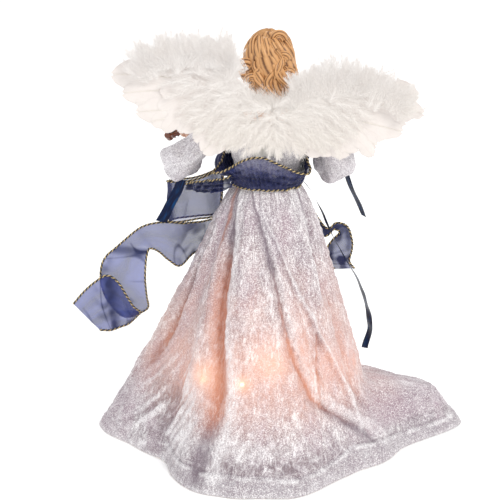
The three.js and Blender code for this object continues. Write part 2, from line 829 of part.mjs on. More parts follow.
function addArm(group, side, grip, along, up) {
  const { mouth } = armCurve(side);
  const hold = armHolds[side];
  const frame = frameAt(hold, along, up);
  const palm = vec(0, -handScale, -(grip + 1.5 * handScale + fitGap)).applyMatrix4(frame);
  const back = mouth.clone().sub(palm).normalize();
  const wrist = palm.clone().addScaledVector(back, wristGrip * 2);
  const inside = palm.clone().addScaledVector(back, wristGrip + fitGap);
  const bore = rod(
    wireRadius + fitGap,
    palm.clone().addScaledVector(back, wristGrip),
    wrist.clone().addScaledVector(back, cutOverrun),
    8,
  );
  const held = rod(
    grip + fitGap,
    hold.clone().addScaledVector(along, -violinLength / 3),
    hold.clone().addScaledVector(along, violinLength / 3),
    12,
  );
  const hand = cutBy(grippingHand(grip, wrist, frame), bore, held);
  addMesh(group, `${side}_hand`, hand, 0xe8b99c, 0.55);
  addMesh(group, `${side}_arm_wire`, armWire(side, wrist, inside), 0x9a9a9a, 0.4, 1);
  addMesh(group, `${side}_sleeve`, sleeve(side, 0), 0xe4e4ea, 0.6);
}

const boardHalfWidth = violinNeckWidth * 0.42;
const violinGrip = Math.max(
  Math.hypot(boardHalfWidth, boardTop - neckMiddle),
  Math.hypot(violinNeckWidth / 2, violinNeckDepth / 2 + neckMiddle),
);
const bowAlong = bowTip.clone().sub(bowHold).normalize();
const bowUp = vec(...bowUpShares);
addArm(leftArm, 'left', violinGrip, violinAxis.clone(), vec(0, 0, 1));
addArm(rightArm, 'right', bowRadius, bowAlong, bowUp);

// Violin body outline: half width as a share at shares of the body's length.
const violinOutlineShares = [
  [0, 0.3], [0.03, 0.68], [0.1, 0.9], [0.2, 1], [0.3, 0.96], [0.38, 0.78], [0.42, 0.66],
  [0.5, 0.6], [0.58, 0.66], [0.62, 0.76], [0.7, 0.82], [0.8, 0.84], [0.9, 0.76], [0.96, 0.56], [1, 0.2],
];

function violin() {
  const shape = new THREE.Shape();
  const one = violinOutlineShares.map(([s, w]) => [violinBodyLength * s, violinHalfWidth * w]);
  const outline = [...one, ...[...one].reverse().map(([x, y]) => [x, -y])];
  shape.setFromPoints(outline.map(([x, y]) => new THREE.Vector2(x, y)));
  const bevel = violinThickness * 0.14;
  const body = new THREE.ExtrudeGeometry(shape, {
    depth: violinThickness - 2 * bevel,
    bevelThickness: bevel,
    bevelSize: bevel,
    bevelSegments: 1,
    steps: 1,
  }).translate(0, 0, bevel - violinThickness / 2);
  const neckEnd = violinLength - 3 * scrollRadius;
  const neckHalf = violinNeckDepth / 2;
  const neck = rodBox(violinBodyLength * 0.94, neckEnd, violinNeckWidth / 2, -neckHalf, neckHalf);
  const board = rodBox(violinBodyLength * 0.66, neckEnd, boardHalfWidth, neckHalf * 0.6, boardTop);
  const pegHalf = violinNeckWidth * 0.4;
  const peg = rodBox(neckEnd - fitGap, violinLength - scrollRadius, pegHalf, -neckHalf, neckHalf);
  const scroll = new THREE.CylinderGeometry(scrollRadius, scrollRadius, violinNeckWidth, 12)
    .translate(violinLength - scrollRadius, 0, 0);
  const bridge = rodBox(
    violinBodyLength * 0.42,
    violinBodyLength * 0.45,
    violinHalfWidth * 0.36,
    violinThickness / 4,
    violinThickness * 0.95,
  );
  const tail = rodBox(
    violinBodyLength * 0.05,
    violinBodyLength * 0.28,
    violinHalfWidth * 0.2,
    violinThickness / 4,
    violinThickness * 0.72,
  );
  return joined([body, neck, board, peg, scroll, bridge, tail]).applyMatrix4(toViolin);
}

// A box from x0 to x1, half width wide each side, from z0 to z1.
function rodBox(x0, x1, half, z0, z1) {
  return new THREE.BoxGeometry(x1 - x0, 2 * half, z1 - z0).translate((x0 + x1) / 2, 0, (z0 + z1) / 2);
}

addMesh(leftArm, 'violin', violin(), 0x4a1f14, 0.3);

function violinBow() {
  const end = bowHold.clone().addScaledVector(bowAlong, -bowLength * 0.08);
  const tip = bowHold.clone().addScaledVector(bowAlong, bowLength * 0.92);
  const stick = taperedBar([end, tip], (t) => bowRadius * (1 - 0.3 * t), 8, 2);
  const frame = frameAt(bowHold, bowAlong, bowUp);
  const hairDropBelow = bowRadius * 3.4;
  const boxAt = (from, to, half, low, high) =>
    rodBox(bowLength * from, bowLength * to, half, low, high).applyMatrix4(frame);
  const frog = boxAt(0.1, 0.16, bowRadius * 0.7, -hairDropBelow, 0);
  const head = boxAt(0.88, 0.91, bowRadius * 0.6, -hairDropBelow, 0);
  const hair = boxAt(0.13, 0.9, bowRadius * 0.6, -hairDropBelow, -hairDropBelow * 0.8);
  return joined([stick, frog, head, hair]);
}

addMesh(rightArm, 'violin_bow', violinBow(), 0x6b3a1c, 0.4);

// Wing bracket: a plate on the bodice's back with two upright tubes for the wings' wire legs.
const bracketFoot = sashCrest + bracketClearance;
const wingRootHeight = bracketFoot + bracketHeight;
const bodiceBack = torsoRadiiAt(wingRootHeight - bracketHeight / 2)[1] + fitGap + clothWall;
const plateFront = Math.max(
  bodiceBack,
  torsoRadiiAt(torsoFoot + torsoHeight * 0.74)[1] + fitGap + clothWall,
) + fitGap;
const tubeOuter = frameWireRadius + fitGap + bracketTubeWall;
const hingeDepth = plateFront + bracketPlate + tubeOuter * 0.9;

function wingBracket() {
  const plate = new THREE.BoxGeometry(bracketWidth, bracketPlate, bracketHeight)
    .translate(0, -plateFront - bracketPlate / 2, bracketFoot + bracketHeight / 2);
  const tubes = [-1, 1].map((s) => rod(
    tubeOuter,
    vec(s * wingHinge, -hingeDepth, bracketFoot),
    vec(s * wingHinge, -hingeDepth, bracketFoot + bracketHeight),
    14,
  ));
  const bores = [-1, 1].map((s) => rod(
    frameWireRadius + fitGap,
    vec(s * wingHinge, -hingeDepth, bracketFoot - cutOverrun),
    vec(s * wingHinge, -hingeDepth, bracketFoot + bracketHeight + cutOverrun),
    12,
  ));
  return cutBy(joined([plate, ...tubes]), ...bores);
}

addMesh(angel, 'wing_bracket', wingBracket(), 0xe8e4dc, 0.6);

// Wing tables, as shares of the span from the hinge at the root height. Feathers: root, tip, half width.
const wingTables = {
  left: {
    sign: -1,
    featherShares: [
      [0.28, 0.32, 0.99, 0.43, 0.12],
      [0.26, 0.24, 0.92, 0.3, 0.105],
      [0.23, 0.17, 0.83, 0.17, 0.1],
      [0.2, 0.1, 0.7, 0.05, 0.095],
      [0.16, 0.04, 0.53, -0.07, 0.095],
      [0.1, 0.01, 0.3, -0.17, 0.09],
    ],
    padShares: [0.39, 0.21, 0.4, 0.25, 14],
    trimShares: [[0.12, 0.42], [0.3, 0.55], [0.55, 0.58], [0.8, 0.51]],
    frameShares: [[0.06, 0.24], [0.3, 0.44], [0.62, 0.46], [0.8, 0.36], [0.58, 0.2], [0.3, 0.08]],
  },
  right: {
    sign: 1,
    featherShares: [
      [0.28, 0.3, 0.95, 0.28, 0.115],
      [0.27, 0.22, 0.99, 0.16, 0.105],
      [0.24, 0.14, 0.85, 0.03, 0.1],
      [0.2, 0.07, 0.68, -0.07, 0.095],
      [0.15, 0.02, 0.5, -0.16, 0.09],
      [0.1, -0.01, 0.29, -0.22, 0.085],
    ],
    padShares: [0.39, 0.13, 0.4, 0.24, -4],
    trimShares: [[0.12, 0.34], [0.32, 0.42], [0.54, 0.42], [0.76, 0.35]],
    frameShares: [[0.06, 0.22], [0.3, 0.34], [0.6, 0.32], [0.78, 0.22], [0.56, 0.06], [0.28, 0]],
  },
};

// A place on a wing: outwards and upwards from the hinge, and a level towards the back.
const wingPoint = (sign, out, up, level) =>
  vec(sign * (wingHinge + out), -hingeDepth - wingSweep * out - level, wingRootHeight + up);

const firstLevel = frameWireRadius + fitGap + featherThickness / 2;

function feather(sign, [u0, v0, u1, v1, widthShare], level) {
  const stations = [
    [0, 0.12], [0.12, 0.5], [0.28, 0.86], [0.5, 1], [0.7, 0.98], [0.84, 0.84], [0.93, 0.58], [1, 0.14],
  ];
  const [from, to] = [[u0, v0], [u1, v1]].map(([u, v]) => [u * wingSpan, v * wingSpan]);
  const length = Math.hypot(to[0] - from[0], to[1] - from[1]);
  const along = [(to[0] - from[0]) / length, (to[1] - from[1]) / length];
  const sagShare = 0.05;
  const rings = stations.map(([s, w]) => {
    const sag = 4 * sagShare * length * s * (1 - s);
    const cu = from[0] + (to[0] - from[0]) * s - along[1] * sag;
    const cv = from[1] + (to[1] - from[1]) * s + along[0] * sag;
    const half = wingSpan * widthShare * w;
    const [du, dv] = [-along[1] * half, along[0] * half];
    const edge = (k, rise) => wingPoint(sign, cu + du * k, cv + dv * k, level + rise);
    return [edge(-1, 0), edge(0, featherThickness / 2), edge(1, 0), edge(0, -featherThickness / 2)];
  });
  return loft(rings);
}

function covertPad(sign, [u, v, ru, rv, tilt], level) {
  const g = new THREE.SphereGeometry(1, 16, 8);
  const p = g.getAttribute('position');
  const turn = radians(tilt);
  for (let i = 0; i < p.count; i += 1) {
    const [a, b, c] = [p.getX(i) * ru * wingSpan, p.getZ(i) * rv * wingSpan, p.getY(i)];
    const out = u * wingSpan + a * Math.cos(turn) - b * Math.sin(turn);
    const up = v * wingSpan + a * Math.sin(turn) + b * Math.cos(turn);
    p.setXYZ(i, ...wingPoint(sign, out, up, level + c * padHalfThickness).toArray());
  }
  return facingOut(g);
}

// A long soft roll. Grown, it cuts the pad that meets it.
function marabouTrim(sign, pathShares, level, grow) {
  const points = pathShares.map(([u, v]) => wingPoint(sign, u * wingSpan, v * wingSpan, level));
  const curve = new THREE.CatmullRomCurve3(points);
  const steps = 10;
  const sides = 12;
  const rings = [];
  for (let i = 0; i <= steps; i += 1) {
    const t = i / steps;
    const swell = Math.sqrt(Math.max(0.04, 1 - (2 * t - 1) ** 4));
    const centre = curve.getPointAt(t);
    const along = curve.getTangentAt(t);
    const up = vec(0, 1, 0).cross(along).normalize();
    rings.push(Array.from({ length: sides }, (_, k) => {
      const a = (2 * Math.PI * k) / sides;
      return centre.clone()
        .addScaledVector(up, (trimRadius * swell + grow) * Math.cos(a))
        .add(vec(0, (trimHalfThickness * swell + grow) * Math.sin(a), 0));
    }));
  }
  return loft(rings);
}

function wingFrame(sign, shares) {
  const leg = [-0.1, 0.5, 1.1, 1.25].map((s) => vec(
    sign * wingHinge,
    -hingeDepth,
    bracketFoot + bracketHeight * s,
  ));
  const loop = shares.map(([u, v]) => wingPoint(sign, u * wingSpan, v * wingSpan, 0));
  const curve = new THREE.CatmullRomCurve3([...leg, ...loop], false, 'centripetal');
  return wireAlong(curve, frameWireRadius, 6, 38);
}

function addWing(side) {
  const group = new THREE.Group();
  angel.add(group);
  const wing = wingTables[side];
  const count = wing.featherShares.length;
  addMesh(group, `${side}_wing_frame`, wingFrame(wing.sign, wing.frameShares), 0xb8b8b8, 0.4, 1);
  wing.featherShares.forEach((row, i) => {
    const level = firstLevel + i * featherPitch;
    addMesh(group, `${side}_flight_feather_${i + 1}`, feather(wing.sign, row, level), 0xf3eee8, 0.7);
  });
  const featherTop = firstLevel + (count - 1) * featherPitch + featherThickness / 2;
  const padLevel = featherTop + fitGap + padHalfThickness - padSettle;
  const trimLevel = featherTop + fitGap + trimHalfThickness;
  const trimAt = (grow) => marabouTrim(wing.sign, wing.trimShares, trimLevel, grow);
  const pad = trimmed(covertPad(wing.sign, wing.padShares, padLevel), trimAt(fitGap));
  addMesh(group, `${side}_covert_pad`, pad, 0xf4efe6, 0.9);
  addMesh(group, `${side}_marabou_trim`, trimAt(0), 0xe9e4e2, 0.95);
}

addWing('left');
addWing('right');

// Ribbons. Each row holds a point on either edge, as shares of the ribbon span from the cone's foot.
const bowLoopShares = [
  [-0.4, 0.2, 2.75, -0.4, 0.2, 2.65],
  [-0.52, 0.22, 2.62, -0.5, 0.22, 2.4],
  [-0.7, 0.21, 2.56, -0.66, 0.21, 2.22],
  [-0.86, 0.19, 2.55, -0.84, 0.19, 2.16],
  [-0.93, 0.24, 2.54, -0.92, 0.24, 2.15],
  [-0.86, 0.3, 2.54, -0.84, 0.3, 2.16],
  [-0.66, 0.31, 2.56, -0.64, 0.31, 2.22],
  [-0.48, 0.27, 2.64, -0.48, 0.28, 2.42],
  [-0.42, 0.24, 2.68, -0.42, 0.25, 2.62],
];
const leftTailShares = [
  [-0.37, 0.25, 2.68, -0.36, 0.26, 2.64],
  [-0.44, 0.37, 2.5, -0.4, 0.37, 2.42],
  [-0.58, 0.38, 2.28, -0.52, 0.42, 2.1],
  [-0.72, 0.28, 2.12, -0.7, 0.36, 1.78],
  [-0.88, 0.2, 2.15, -0.82, 0.2, 1.72],
  [-1.01, 0.14, 2.17, -0.92, 0.1, 1.82],
  [-1.15, 0.06, 2.16, -1, 0, 1.93],
  [-1.26, -0.04, 2.11, -1.06, -0.08, 1.99],
  [-1.37, -0.12, 2.03, -1.09, -0.14, 2],
  [-1.47, -0.18, 1.96, -1.11, -0.2, 1.91],
  [-1.52, -0.2, 1.86, -1.12, -0.2, 1.73],
  [-1.53, -0.16, 1.69, -1.11, -0.12, 1.52],
  [-1.48, -0.1, 1.49, -1.11, -0.02, 1.39],
  [-1.34, -0.06, 1.31, -1.19, 0.02, 1.31],
  [-1.18, -0.12, 1.37, -1.24, -0.02, 1.27],
  [-1.24, -0.22, 1.49, -1.3, -0.07, 1.24],
  [-1.35, -0.28, 1.72, -1.36, -0.12, 1.23],
  [-1.46, -0.28, 1.8, -1.41, -0.15, 1.22],
  [-1.57, -0.26, 1.74, -1.46, -0.18, 1.22],
  [-1.68, -0.23, 1.63, -1.5, -0.2, 1.23],
  [-1.79, -0.2, 1.49, -1.55, -0.22, 1.24],
];
const rightTailShares = [
  [0.231, 0.208, 2.63, 0.165, 0.264, 2.63],
  [0.28, 0.26, 2.53, 0.19, 0.32, 2.53],
  [0.4, 0.36, 2.28, 0.3, 0.42, 2.22],
  [0.56, 0.34, 2.05, 0.53, 0.35, 1.97],
  [0.66, 0.34, 2.1, 0.63, 0.35, 2.03],
  [0.76, 0.35, 2.06, 0.69, 0.38, 1.99],
  [0.81, 0.36, 1.92, 0.62, 0.42, 1.89],
  [0.81, 0.36, 1.82, 0.57, 0.42, 1.8],
  [0.79, 0.38, 1.7, 0.58, 0.43, 1.7],
  [0.84, 0.4, 1.62, 0.65, 0.43, 1.6],
];
const longSatinShares = [
  [0.27, 0.11, 2.63, 0.25, 0.18, 2.63],
  [0.35, 0.15, 2.54, 0.33, 0.22, 2.54],
  [0.44, 0.16, 2.36, 0.43, 0.25, 2.36],
  [0.58, 0.17, 2.01, 0.58, 0.255, 2.01],
  [0.71, 0.2, 1.76, 0.71, 0.29, 1.76],
  [0.84, 0.27, 1.54, 0.84, 0.36, 1.54],
  [0.945, 0.36, 1.27, 0.93, 0.45, 1.27],
  [1, 0.44, 1.02, 0.98, 0.53, 1.02],
  [1, 0.49, 0.87, 0.965, 0.57, 0.87],
  [0.985, 0.52, 0.72, 0.935, 0.59, 0.73],
];
const leftSatinShares = [
  [-0.83, 0.085, 2.605, -0.745, 0.08, 2.6],
  [-0.87, 0.125, 2.5, -0.78, 0.13, 2.48],
  [-0.96, 0.11, 2.33, -0.87, 0.13, 2.3],
  [-1.03, 0.11, 2.2, -0.93, 0.12, 2.17],
];
const shortSatinShares = [
  [0.74, 0.13, 2.66, 0.72, 0.21, 2.66],
  [0.79, 0.14, 2.5, 0.77, 0.23, 2.5],
  [0.85, 0.14, 2.36, 0.84, 0.24, 2.36],
  [0.91, 0.13, 2.22, 0.89, 0.23, 2.22],
];

// The rows of a ribbon table are shares of the ribbon span, with the waist at this share of it.
const waistLevelShare = 2.68;
const atRibbon = (x, y, z) =>
  vec(x, y, z - waistLevelShare).multiplyScalar(ribbonSpan).add(vec(0, 0, waistHeight));

function ribbon(rows, thickness, steps) {
  const edge = (first) => rows.map((row) => atRibbon(...row.slice(first, first + 3)));
  return strip(edge(0), edge(3), thickness, steps);
}

const navy = 0x1b2148;
const knotCentreShares = [-0.39, 0.225, 2.72];
const knotBall = (grow) => ball(
  knotHalfWidth + grow,
  knotHalfWidth + grow,
  knotHalfHeight + grow,
  ...atRibbon(...knotCentreShares).toArray(),
);
const sashRoom = sash(fitGap);
const bow = joined([knotBall(0), ribbon(bowLoopShares, organzaThickness, 32)]);
addMesh(angel, 'organza_bow', trimmed(bow, sashRoom), navy, 0.6);
const leftTail = trimmed(ribbon(leftTailShares, organzaThickness, 60), sashRoom, knotBall(fitGap));
addMesh(angel, 'organza_tail_left', leftTail, navy, 0.6);
const rightTail = trimmed(ribbon(rightTailShares, organzaThickness, 30), sashRoom);
addMesh(angel, 'organza_tail_right', rightTail, navy, 0.6);
const longSatin = trimmed(ribbon(longSatinShares, satinThickness, 24), sashRoom);
addMesh(angel, 'satin_ribbon_right_long', longSatin, navy, 0.35);
const leftSatin = trimmed(ribbon(leftSatinShares, satinThickness, 12), sleeve('left', fitGap));
addMesh(leftArm, 'satin_ribbon_left', leftSatin, navy, 0.35);
const shortSatin = trimmed(ribbon(shortSatinShares, satinThickness, 12), sleeve('right', fitGap));
addMesh(rightArm, 'satin_ribbon_right_short', shortSatin, navy, 0.35);

// The origin goes to the middle of the whole part's foot.
const topper = new THREE.Group();
topper.add(angel);
topper.updateMatrixWorld(true);
const extent = new THREE.Box3().setFromObject(topper, true);
const middle = extent.getCenter(vec(0, 0, 0));
angel.position.set(-middle.x, -middle.y, -extent.min.z);
topper.updateMatrixWorld(true);

export default topper;
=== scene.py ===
"""Angel tree topper, seen from behind: its looks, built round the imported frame. Metres, Z up."""

import math

import bpy
import numpy as np
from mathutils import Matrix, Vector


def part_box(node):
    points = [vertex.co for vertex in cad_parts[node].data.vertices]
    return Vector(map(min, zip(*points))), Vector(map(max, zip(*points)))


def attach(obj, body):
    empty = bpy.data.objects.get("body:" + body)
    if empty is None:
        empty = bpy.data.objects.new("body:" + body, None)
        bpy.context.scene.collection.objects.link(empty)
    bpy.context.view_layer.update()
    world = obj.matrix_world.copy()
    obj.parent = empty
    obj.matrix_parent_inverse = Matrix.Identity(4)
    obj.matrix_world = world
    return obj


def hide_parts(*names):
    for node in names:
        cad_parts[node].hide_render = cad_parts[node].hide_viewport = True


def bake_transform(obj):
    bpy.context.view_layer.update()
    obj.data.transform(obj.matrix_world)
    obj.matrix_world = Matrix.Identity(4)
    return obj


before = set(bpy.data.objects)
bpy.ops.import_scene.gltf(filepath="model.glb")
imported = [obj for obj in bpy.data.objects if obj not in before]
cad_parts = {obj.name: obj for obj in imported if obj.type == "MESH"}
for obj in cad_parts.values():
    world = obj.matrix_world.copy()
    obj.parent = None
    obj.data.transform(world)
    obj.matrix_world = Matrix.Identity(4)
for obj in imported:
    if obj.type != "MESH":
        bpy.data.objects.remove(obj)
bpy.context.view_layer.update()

MM = 0.001
dowel_low, dowel_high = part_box("neck_dowel")
AXIS = np.array([(dowel_low.x + dowel_high.x) / 2, (dowel_low.y + dowel_high.y) / 2, 0.0])


def put(points):
    """Millimetres about the cone's axis to metres in the row frame."""
    return np.asarray(points, float) * MM + AXIS


def back_to_mm(points):
    return (np.asarray(points, float) - AXIS) / MM


def unit(v):
    return v / np.maximum(np.linalg.norm(v, axis=-1, keepdims=True), 1e-12)


def smoothstep(x, low, high):
    t = np.clip((np.asarray(x, float) - low) / (high - low), 0, 1)
    return t * t * (3 - 2 * t)


def bell(x, middle, width):
    return np.exp(-(((np.asarray(x, float) - middle) / width) ** 2))


def ripple(points, wavelength, seed, count=16):
    """A smooth random field from summed waves of about that wavelength, mostly within -1 and 1."""
    r = np.random.default_rng(seed)
    p = np.asarray(points, float)
    along = unit(r.normal(size=(count, p.shape[-1])))
    k = along * (2 * np.pi / wavelength) * r.uniform(0.6, 1.5, (count, 1))
    return np.cos(p @ k.T + r.uniform(0, 2 * np.pi, count)).sum(-1) * (2 / count) ** 0.5 * 0.7


# Mesh building


def mesh(name, verts, faces, uv=None, smooth=True, in_mm=True, **fields):
    """One object from vertices and faces of one size, with point fields for its material."""
    data = bpy.data.meshes.new(name)
    v = np.ascontiguousarray(put(verts) if in_mm else verts, np.float32).reshape(-1, 3)
    f = np.ascontiguousarray(faces, np.int32)
    count, sides = f.shape
    data.vertices.add(len(v))
    data.vertices.foreach_set("co", v.ravel())
    data.loops.add(count * sides)
    data.loops.foreach_set("vertex_index", f.ravel())
    data.polygons.add(count)
    data.polygons.foreach_set("loop_start", np.arange(0, count * sides, sides, dtype=np.int32))
    data.polygons.foreach_set("use_smooth", np.full(count, smooth))
    if uv is not None:
        layer = data.uv_layers.new(name="cloth")
        spread = np.asarray(uv, np.float32).reshape(-1, 2)[f.ravel()]
        layer.data.foreach_set("uv", np.ascontiguousarray(spread).ravel())
    for field, values in fields.items():
        attribute = data.attributes.new(field, "FLOAT", "POINT")
        attribute.data.foreach_set("value", np.ascontiguousarray(values, np.float32).ravel())
    data.update()
    obj = bpy.data.objects.new(name, data)
    bpy.context.scene.collection.objects.link(obj)
    return obj


def grid_faces(rows, columns, closed=False):
    r = np.arange(rows - 1)[:, None]
    c = np.arange(columns if closed else columns - 1)[None, :]
    n = (c + 1) % columns
    corners = [r * columns + c, r * columns + n, (r + 1) * columns + n, (r + 1) * columns + c]
    return np.stack(np.broadcast_arrays(*corners), -1).reshape(-1, 4)


def many(faces, copies, step):
    """The same faces for each of many copies laid end to end."""
    return (faces[None] + (np.arange(copies) * step)[:, None, None]).reshape(-1, faces.shape[1])


def frames(points):
    """Tangent, side and up along many lines at once, turned as little as possible."""
    t = unit(np.gradient(points, axis=1))
    start = np.where(np.abs(t[:, 0, 2:3]) < 0.9, [[0.0, 0.0, 1.0]], [[1.0, 0.0, 0.0]])
    s = unit(np.cross(t[:, 0], start))
    side = np.empty_like(points)
    for k in range(points.shape[1]):
        s = unit(s - (s * t[:, k]).sum(-1, keepdims=True) * t[:, k])
        side[:, k] = s
    return t, side, np.cross(side, t)


def tubes(points, radius, sides=8, groove=0.0, lobes=5, flat=1.0, twist=0.0):
    """Vertices and faces of tubes along many lines, and how deep in a groove each vertex is."""
    points = np.asarray(points, float)
    n, k, _ = points.shape
    _, side, up = frames(points)
    radius = np.broadcast_to(radius, (n, k))
    a = np.arange(sides) * 2 * np.pi / sides
    turn = a[None, None] + twist * np.linspace(0, 1, k)[None, :, None]
    wave = np.cos(lobes * a)[None, None] * np.ones((n, k, 1))
    r = radius[..., None] * (1 + groove * wave)
    ring = (
        points[:, :, None]
        + (r * np.cos(turn))[..., None] * side[:, :, None]
        + (flat * r * np.sin(turn))[..., None] * up[:, :, None]
    )
    faces = many(grid_faces(k, sides, True), n, k * sides)
    return ring.reshape(-1, 3), faces, (0.5 - 0.5 * wave).reshape(-1)


def strands(points, width, facing):
    """Thin flat strips along many lines; facing is each strip's broad side."""
    n, k, _ = points.shape
    t = unit(np.gradient(points, axis=1))
    side = unit(np.cross(t, facing[:, None]))
    half = np.broadcast_to(width, (n, k))[..., None] / 2 * side
    verts = np.stack([points - half, points + half], 2).reshape(-1, 3)
    return verts, many(grid_faces(k, 2), n, 2 * k)


def spline(table, count):
    """A smooth line through the rows of a table, at evenly spaced steps of the rows."""
    p = np.asarray(table, float)
    ends = np.concatenate([[2 * p[0] - p[1]], p, [2 * p[-1] - p[-2]]])
    u = np.linspace(0, len(p) - 1, count)
    k = np.minimum(u.astype(int), len(p) - 2)
    t = (u - k)[:, None]
    a, b, c, d = ends[k], ends[k + 1], ends[k + 2], ends[k + 3]
    return b + 0.5 * t * (c - a + t * (2 * a - 5 * b + 4 * c - d + t * (3 * (b - c) + d - a)))


def even(line, count):
    """The same line at even steps of its length."""
    far = np.concatenate([[0], np.cumsum(np.linalg.norm(np.diff(line, axis=0), axis=1))])
    at = np.linspace(0, far[-1], count)
    return np.stack([np.interp(at, far, line[:, i]) for i in range(line.shape[1])], 1)


# Materials


class Paint:
    """A node material, with short calls for the nodes used here."""

    def __init__(self, name, roughness=0.5, **sockets):
        self.m = bpy.data.materials.new(name)
        self.m.use_nodes = True
        self.tree = self.m.node_tree
        self.skin = self.tree.nodes["Principled BSDF"]
        self.skin.inputs["Roughness"].default_value = roughness
        for socket, value in sockets.items():
            self.skin.inputs[socket.replace("_", " ")].default_value = value
        self.place = self.tree.nodes.new("ShaderNodeTexCoord").outputs["Object"]

    def wire(self, value, socket):
        if isinstance(value, bpy.types.NodeSocket):
            self.tree.links.new(value, socket)
        elif value is not None:
            socket.default_value = value

    def math(self, how, a, b=None, c=None):
        node = self.tree.nodes.new("ShaderNodeMath")
        node.operation = how
        for value, socket in zip((a, b, c), node.inputs):
            self.wire(value, socket)
        return node.outputs[0]

    def times(self, a, b):
        return self.math("MULTIPLY", a, b)

    def height(self):
        """How high a point stands, in metres."""
        node = self.tree.nodes.new("ShaderNodeSeparateXYZ")
        self.wire(self.place, node.inputs[0])
        return node.outputs[2]

    def stretch(self, scale, source=None, turn=(0, 0, 0)):
        node = self.tree.nodes.new("ShaderNodeMapping")
        self.wire(source or self.place, node.inputs["Vector"])
        node.inputs["Scale"].default_value = scale
        node.inputs["Rotation"].default_value = turn
        return node.outputs[0]

    def noise(self, scale, detail=3.0, rough=0.55, source=None, warp=0.0):
        node = self.tree.nodes.new("ShaderNodeTexNoise")
        self.wire(source or self.place, node.inputs["Vector"])
        node.inputs["Scale"].default_value = scale
        node.inputs["Detail"].default_value = detail
        node.inputs["Roughness"].default_value = rough
        node.inputs["Distortion"].default_value = warp
        return node.outputs["Fac"]

    def bands(self, scale, source=None, along="X", warp=0.0, detail=2.0):
        node = self.tree.nodes.new("ShaderNodeTexWave")
        node.bands_direction = along
        self.wire(source or self.place, node.inputs["Vector"])
        node.inputs["Scale"].default_value = scale
        node.inputs["Distortion"].default_value = warp
        node.inputs["Detail"].default_value = detail
        return node.outputs["Fac"]

    def field(self, name):
        node = self.tree.nodes.new("ShaderNodeAttribute")
        node.attribute_name = name
        return node.outputs["Fac"]

    def uv(self):
        node = self.tree.nodes.new("ShaderNodeUVMap")
        node.uv_map = "cloth"
        return node.outputs[0]

    def ramp(self, source, *stops):
        node = self.tree.nodes.new("ShaderNodeValToRGB")
        self.wire(source, node.inputs["Fac"])
        items = node.color_ramp.elements
        while len(items) < len(stops):
            items.new(0.5)
        for item, (at, colour) in zip(items, stops):
            item.position = at
            item.color = (*colour, 1) if len(colour) == 3 else colour
        return node.outputs["Color"]

    def span(self, source, low, high, to_low=0.0, to_high=1.0):
        node = self.tree.nodes.new("ShaderNodeMapRange")
        for value, socket in zip((source, low, high, to_low, to_high), node.inputs):
            self.wire(value, socket)
        return node.outputs["Result"]

    def mix(self, share, a, b, how="MIX"):
        node = self.tree.nodes.new("ShaderNodeMix")
        node.data_type = "RGBA"
        node.blend_type = how
        self.wire(share, node.inputs["Factor"])
        sockets = [socket for socket in node.inputs if socket.type == "RGBA"]
        for value, socket in zip((a, b), sockets):
            self.wire((*value, 1) if isinstance(value, tuple) and len(value) == 3 else value, socket)
        return [socket for socket in node.outputs if socket.type == "RGBA"][0]

    def bump(self, height, strength=0.3, depth=0.001, under=None):
        node = self.tree.nodes.new("ShaderNodeBump")
        node.inputs["Strength"].default_value = strength
        node.inputs["Distance"].default_value = depth
        self.wire(height, node.inputs["Height"])
        if under is not None:
            self.wire(under, node.inputs["Normal"])
        return node.outputs[0]

    def finish(self, colour=None, roughness=None, normal=None, glow=None, glow_colour=None):
        self.wire(colour, self.skin.inputs["Base Color"])
        if roughness is not None:
            self.wire(roughness, self.skin.inputs["Roughness"])
        if normal is not None:
            self.wire(normal, self.skin.inputs["Normal"])
        if glow is not None:
            self.wire(glow, self.skin.inputs["Emission Strength"])
            self.wire(glow_colour, self.skin.inputs["Emission Color"])
        return self.m


# Colours of the crushed velvet.
PILE_SILVER = (0.84, 0.82, 0.83)
PILE_STOPS = (
    (0.0, (0.24, 0.195, 0.225)),
    (0.3, (0.355, 0.31, 0.335)),
    (0.62, (0.49, 0.45, 0.475)),
    (1.0, PILE_SILVER),
)
PATCH_LILAC = (0.80, 0.72, 0.80)
# Mauve: painted shade in the valleys and under the train's ridge, and mauve tone at random.
MAUVE_SHADE_AND_TONE = (0.345, 0.24, 0.295)
HEM_GREY = (0.35, 0.32, 0.35)
# Plum: bruises, and painted shade in the troughs of the crumpled patch.
PLUM_BRUISE_AND_SHADE = (0.17, 0.125, 0.145)
# Painted lamplight: the rose of the cloth where the bulbs light it from inside.
LIT_ROSE = (0.84, 0.47, 0.36)
# Painted shade in the creases: a cool colour, and a redder one where the lamps light them.
CREASE_SHADE_COOL = (0.15, 0.11, 0.14)
CREASE_SHADE_WARM = (0.46, 0.16, 0.085)
# The sewn copy for bodice and sleeves is painted lighter than the skirt: painted light.
SEWN_PAINTED_LIGHT = (0.90, 0.88, 0.90)
# Specks of painted shade and painted glints in the pile's grain.
PILE_SHADOW = (0.24, 0.20, 0.23)
PILE_SPARKLE = (1.0, 0.98, 0.98)
# Colours of the glow painted as emission on the cloth for the bulbs' light through it.
GLOW_STOPS = ((0.0, (1.0, 0.42, 0.26)), (0.3, (1.0, 0.60, 0.30)), (1.0, (1.0, 0.90, 0.55)))


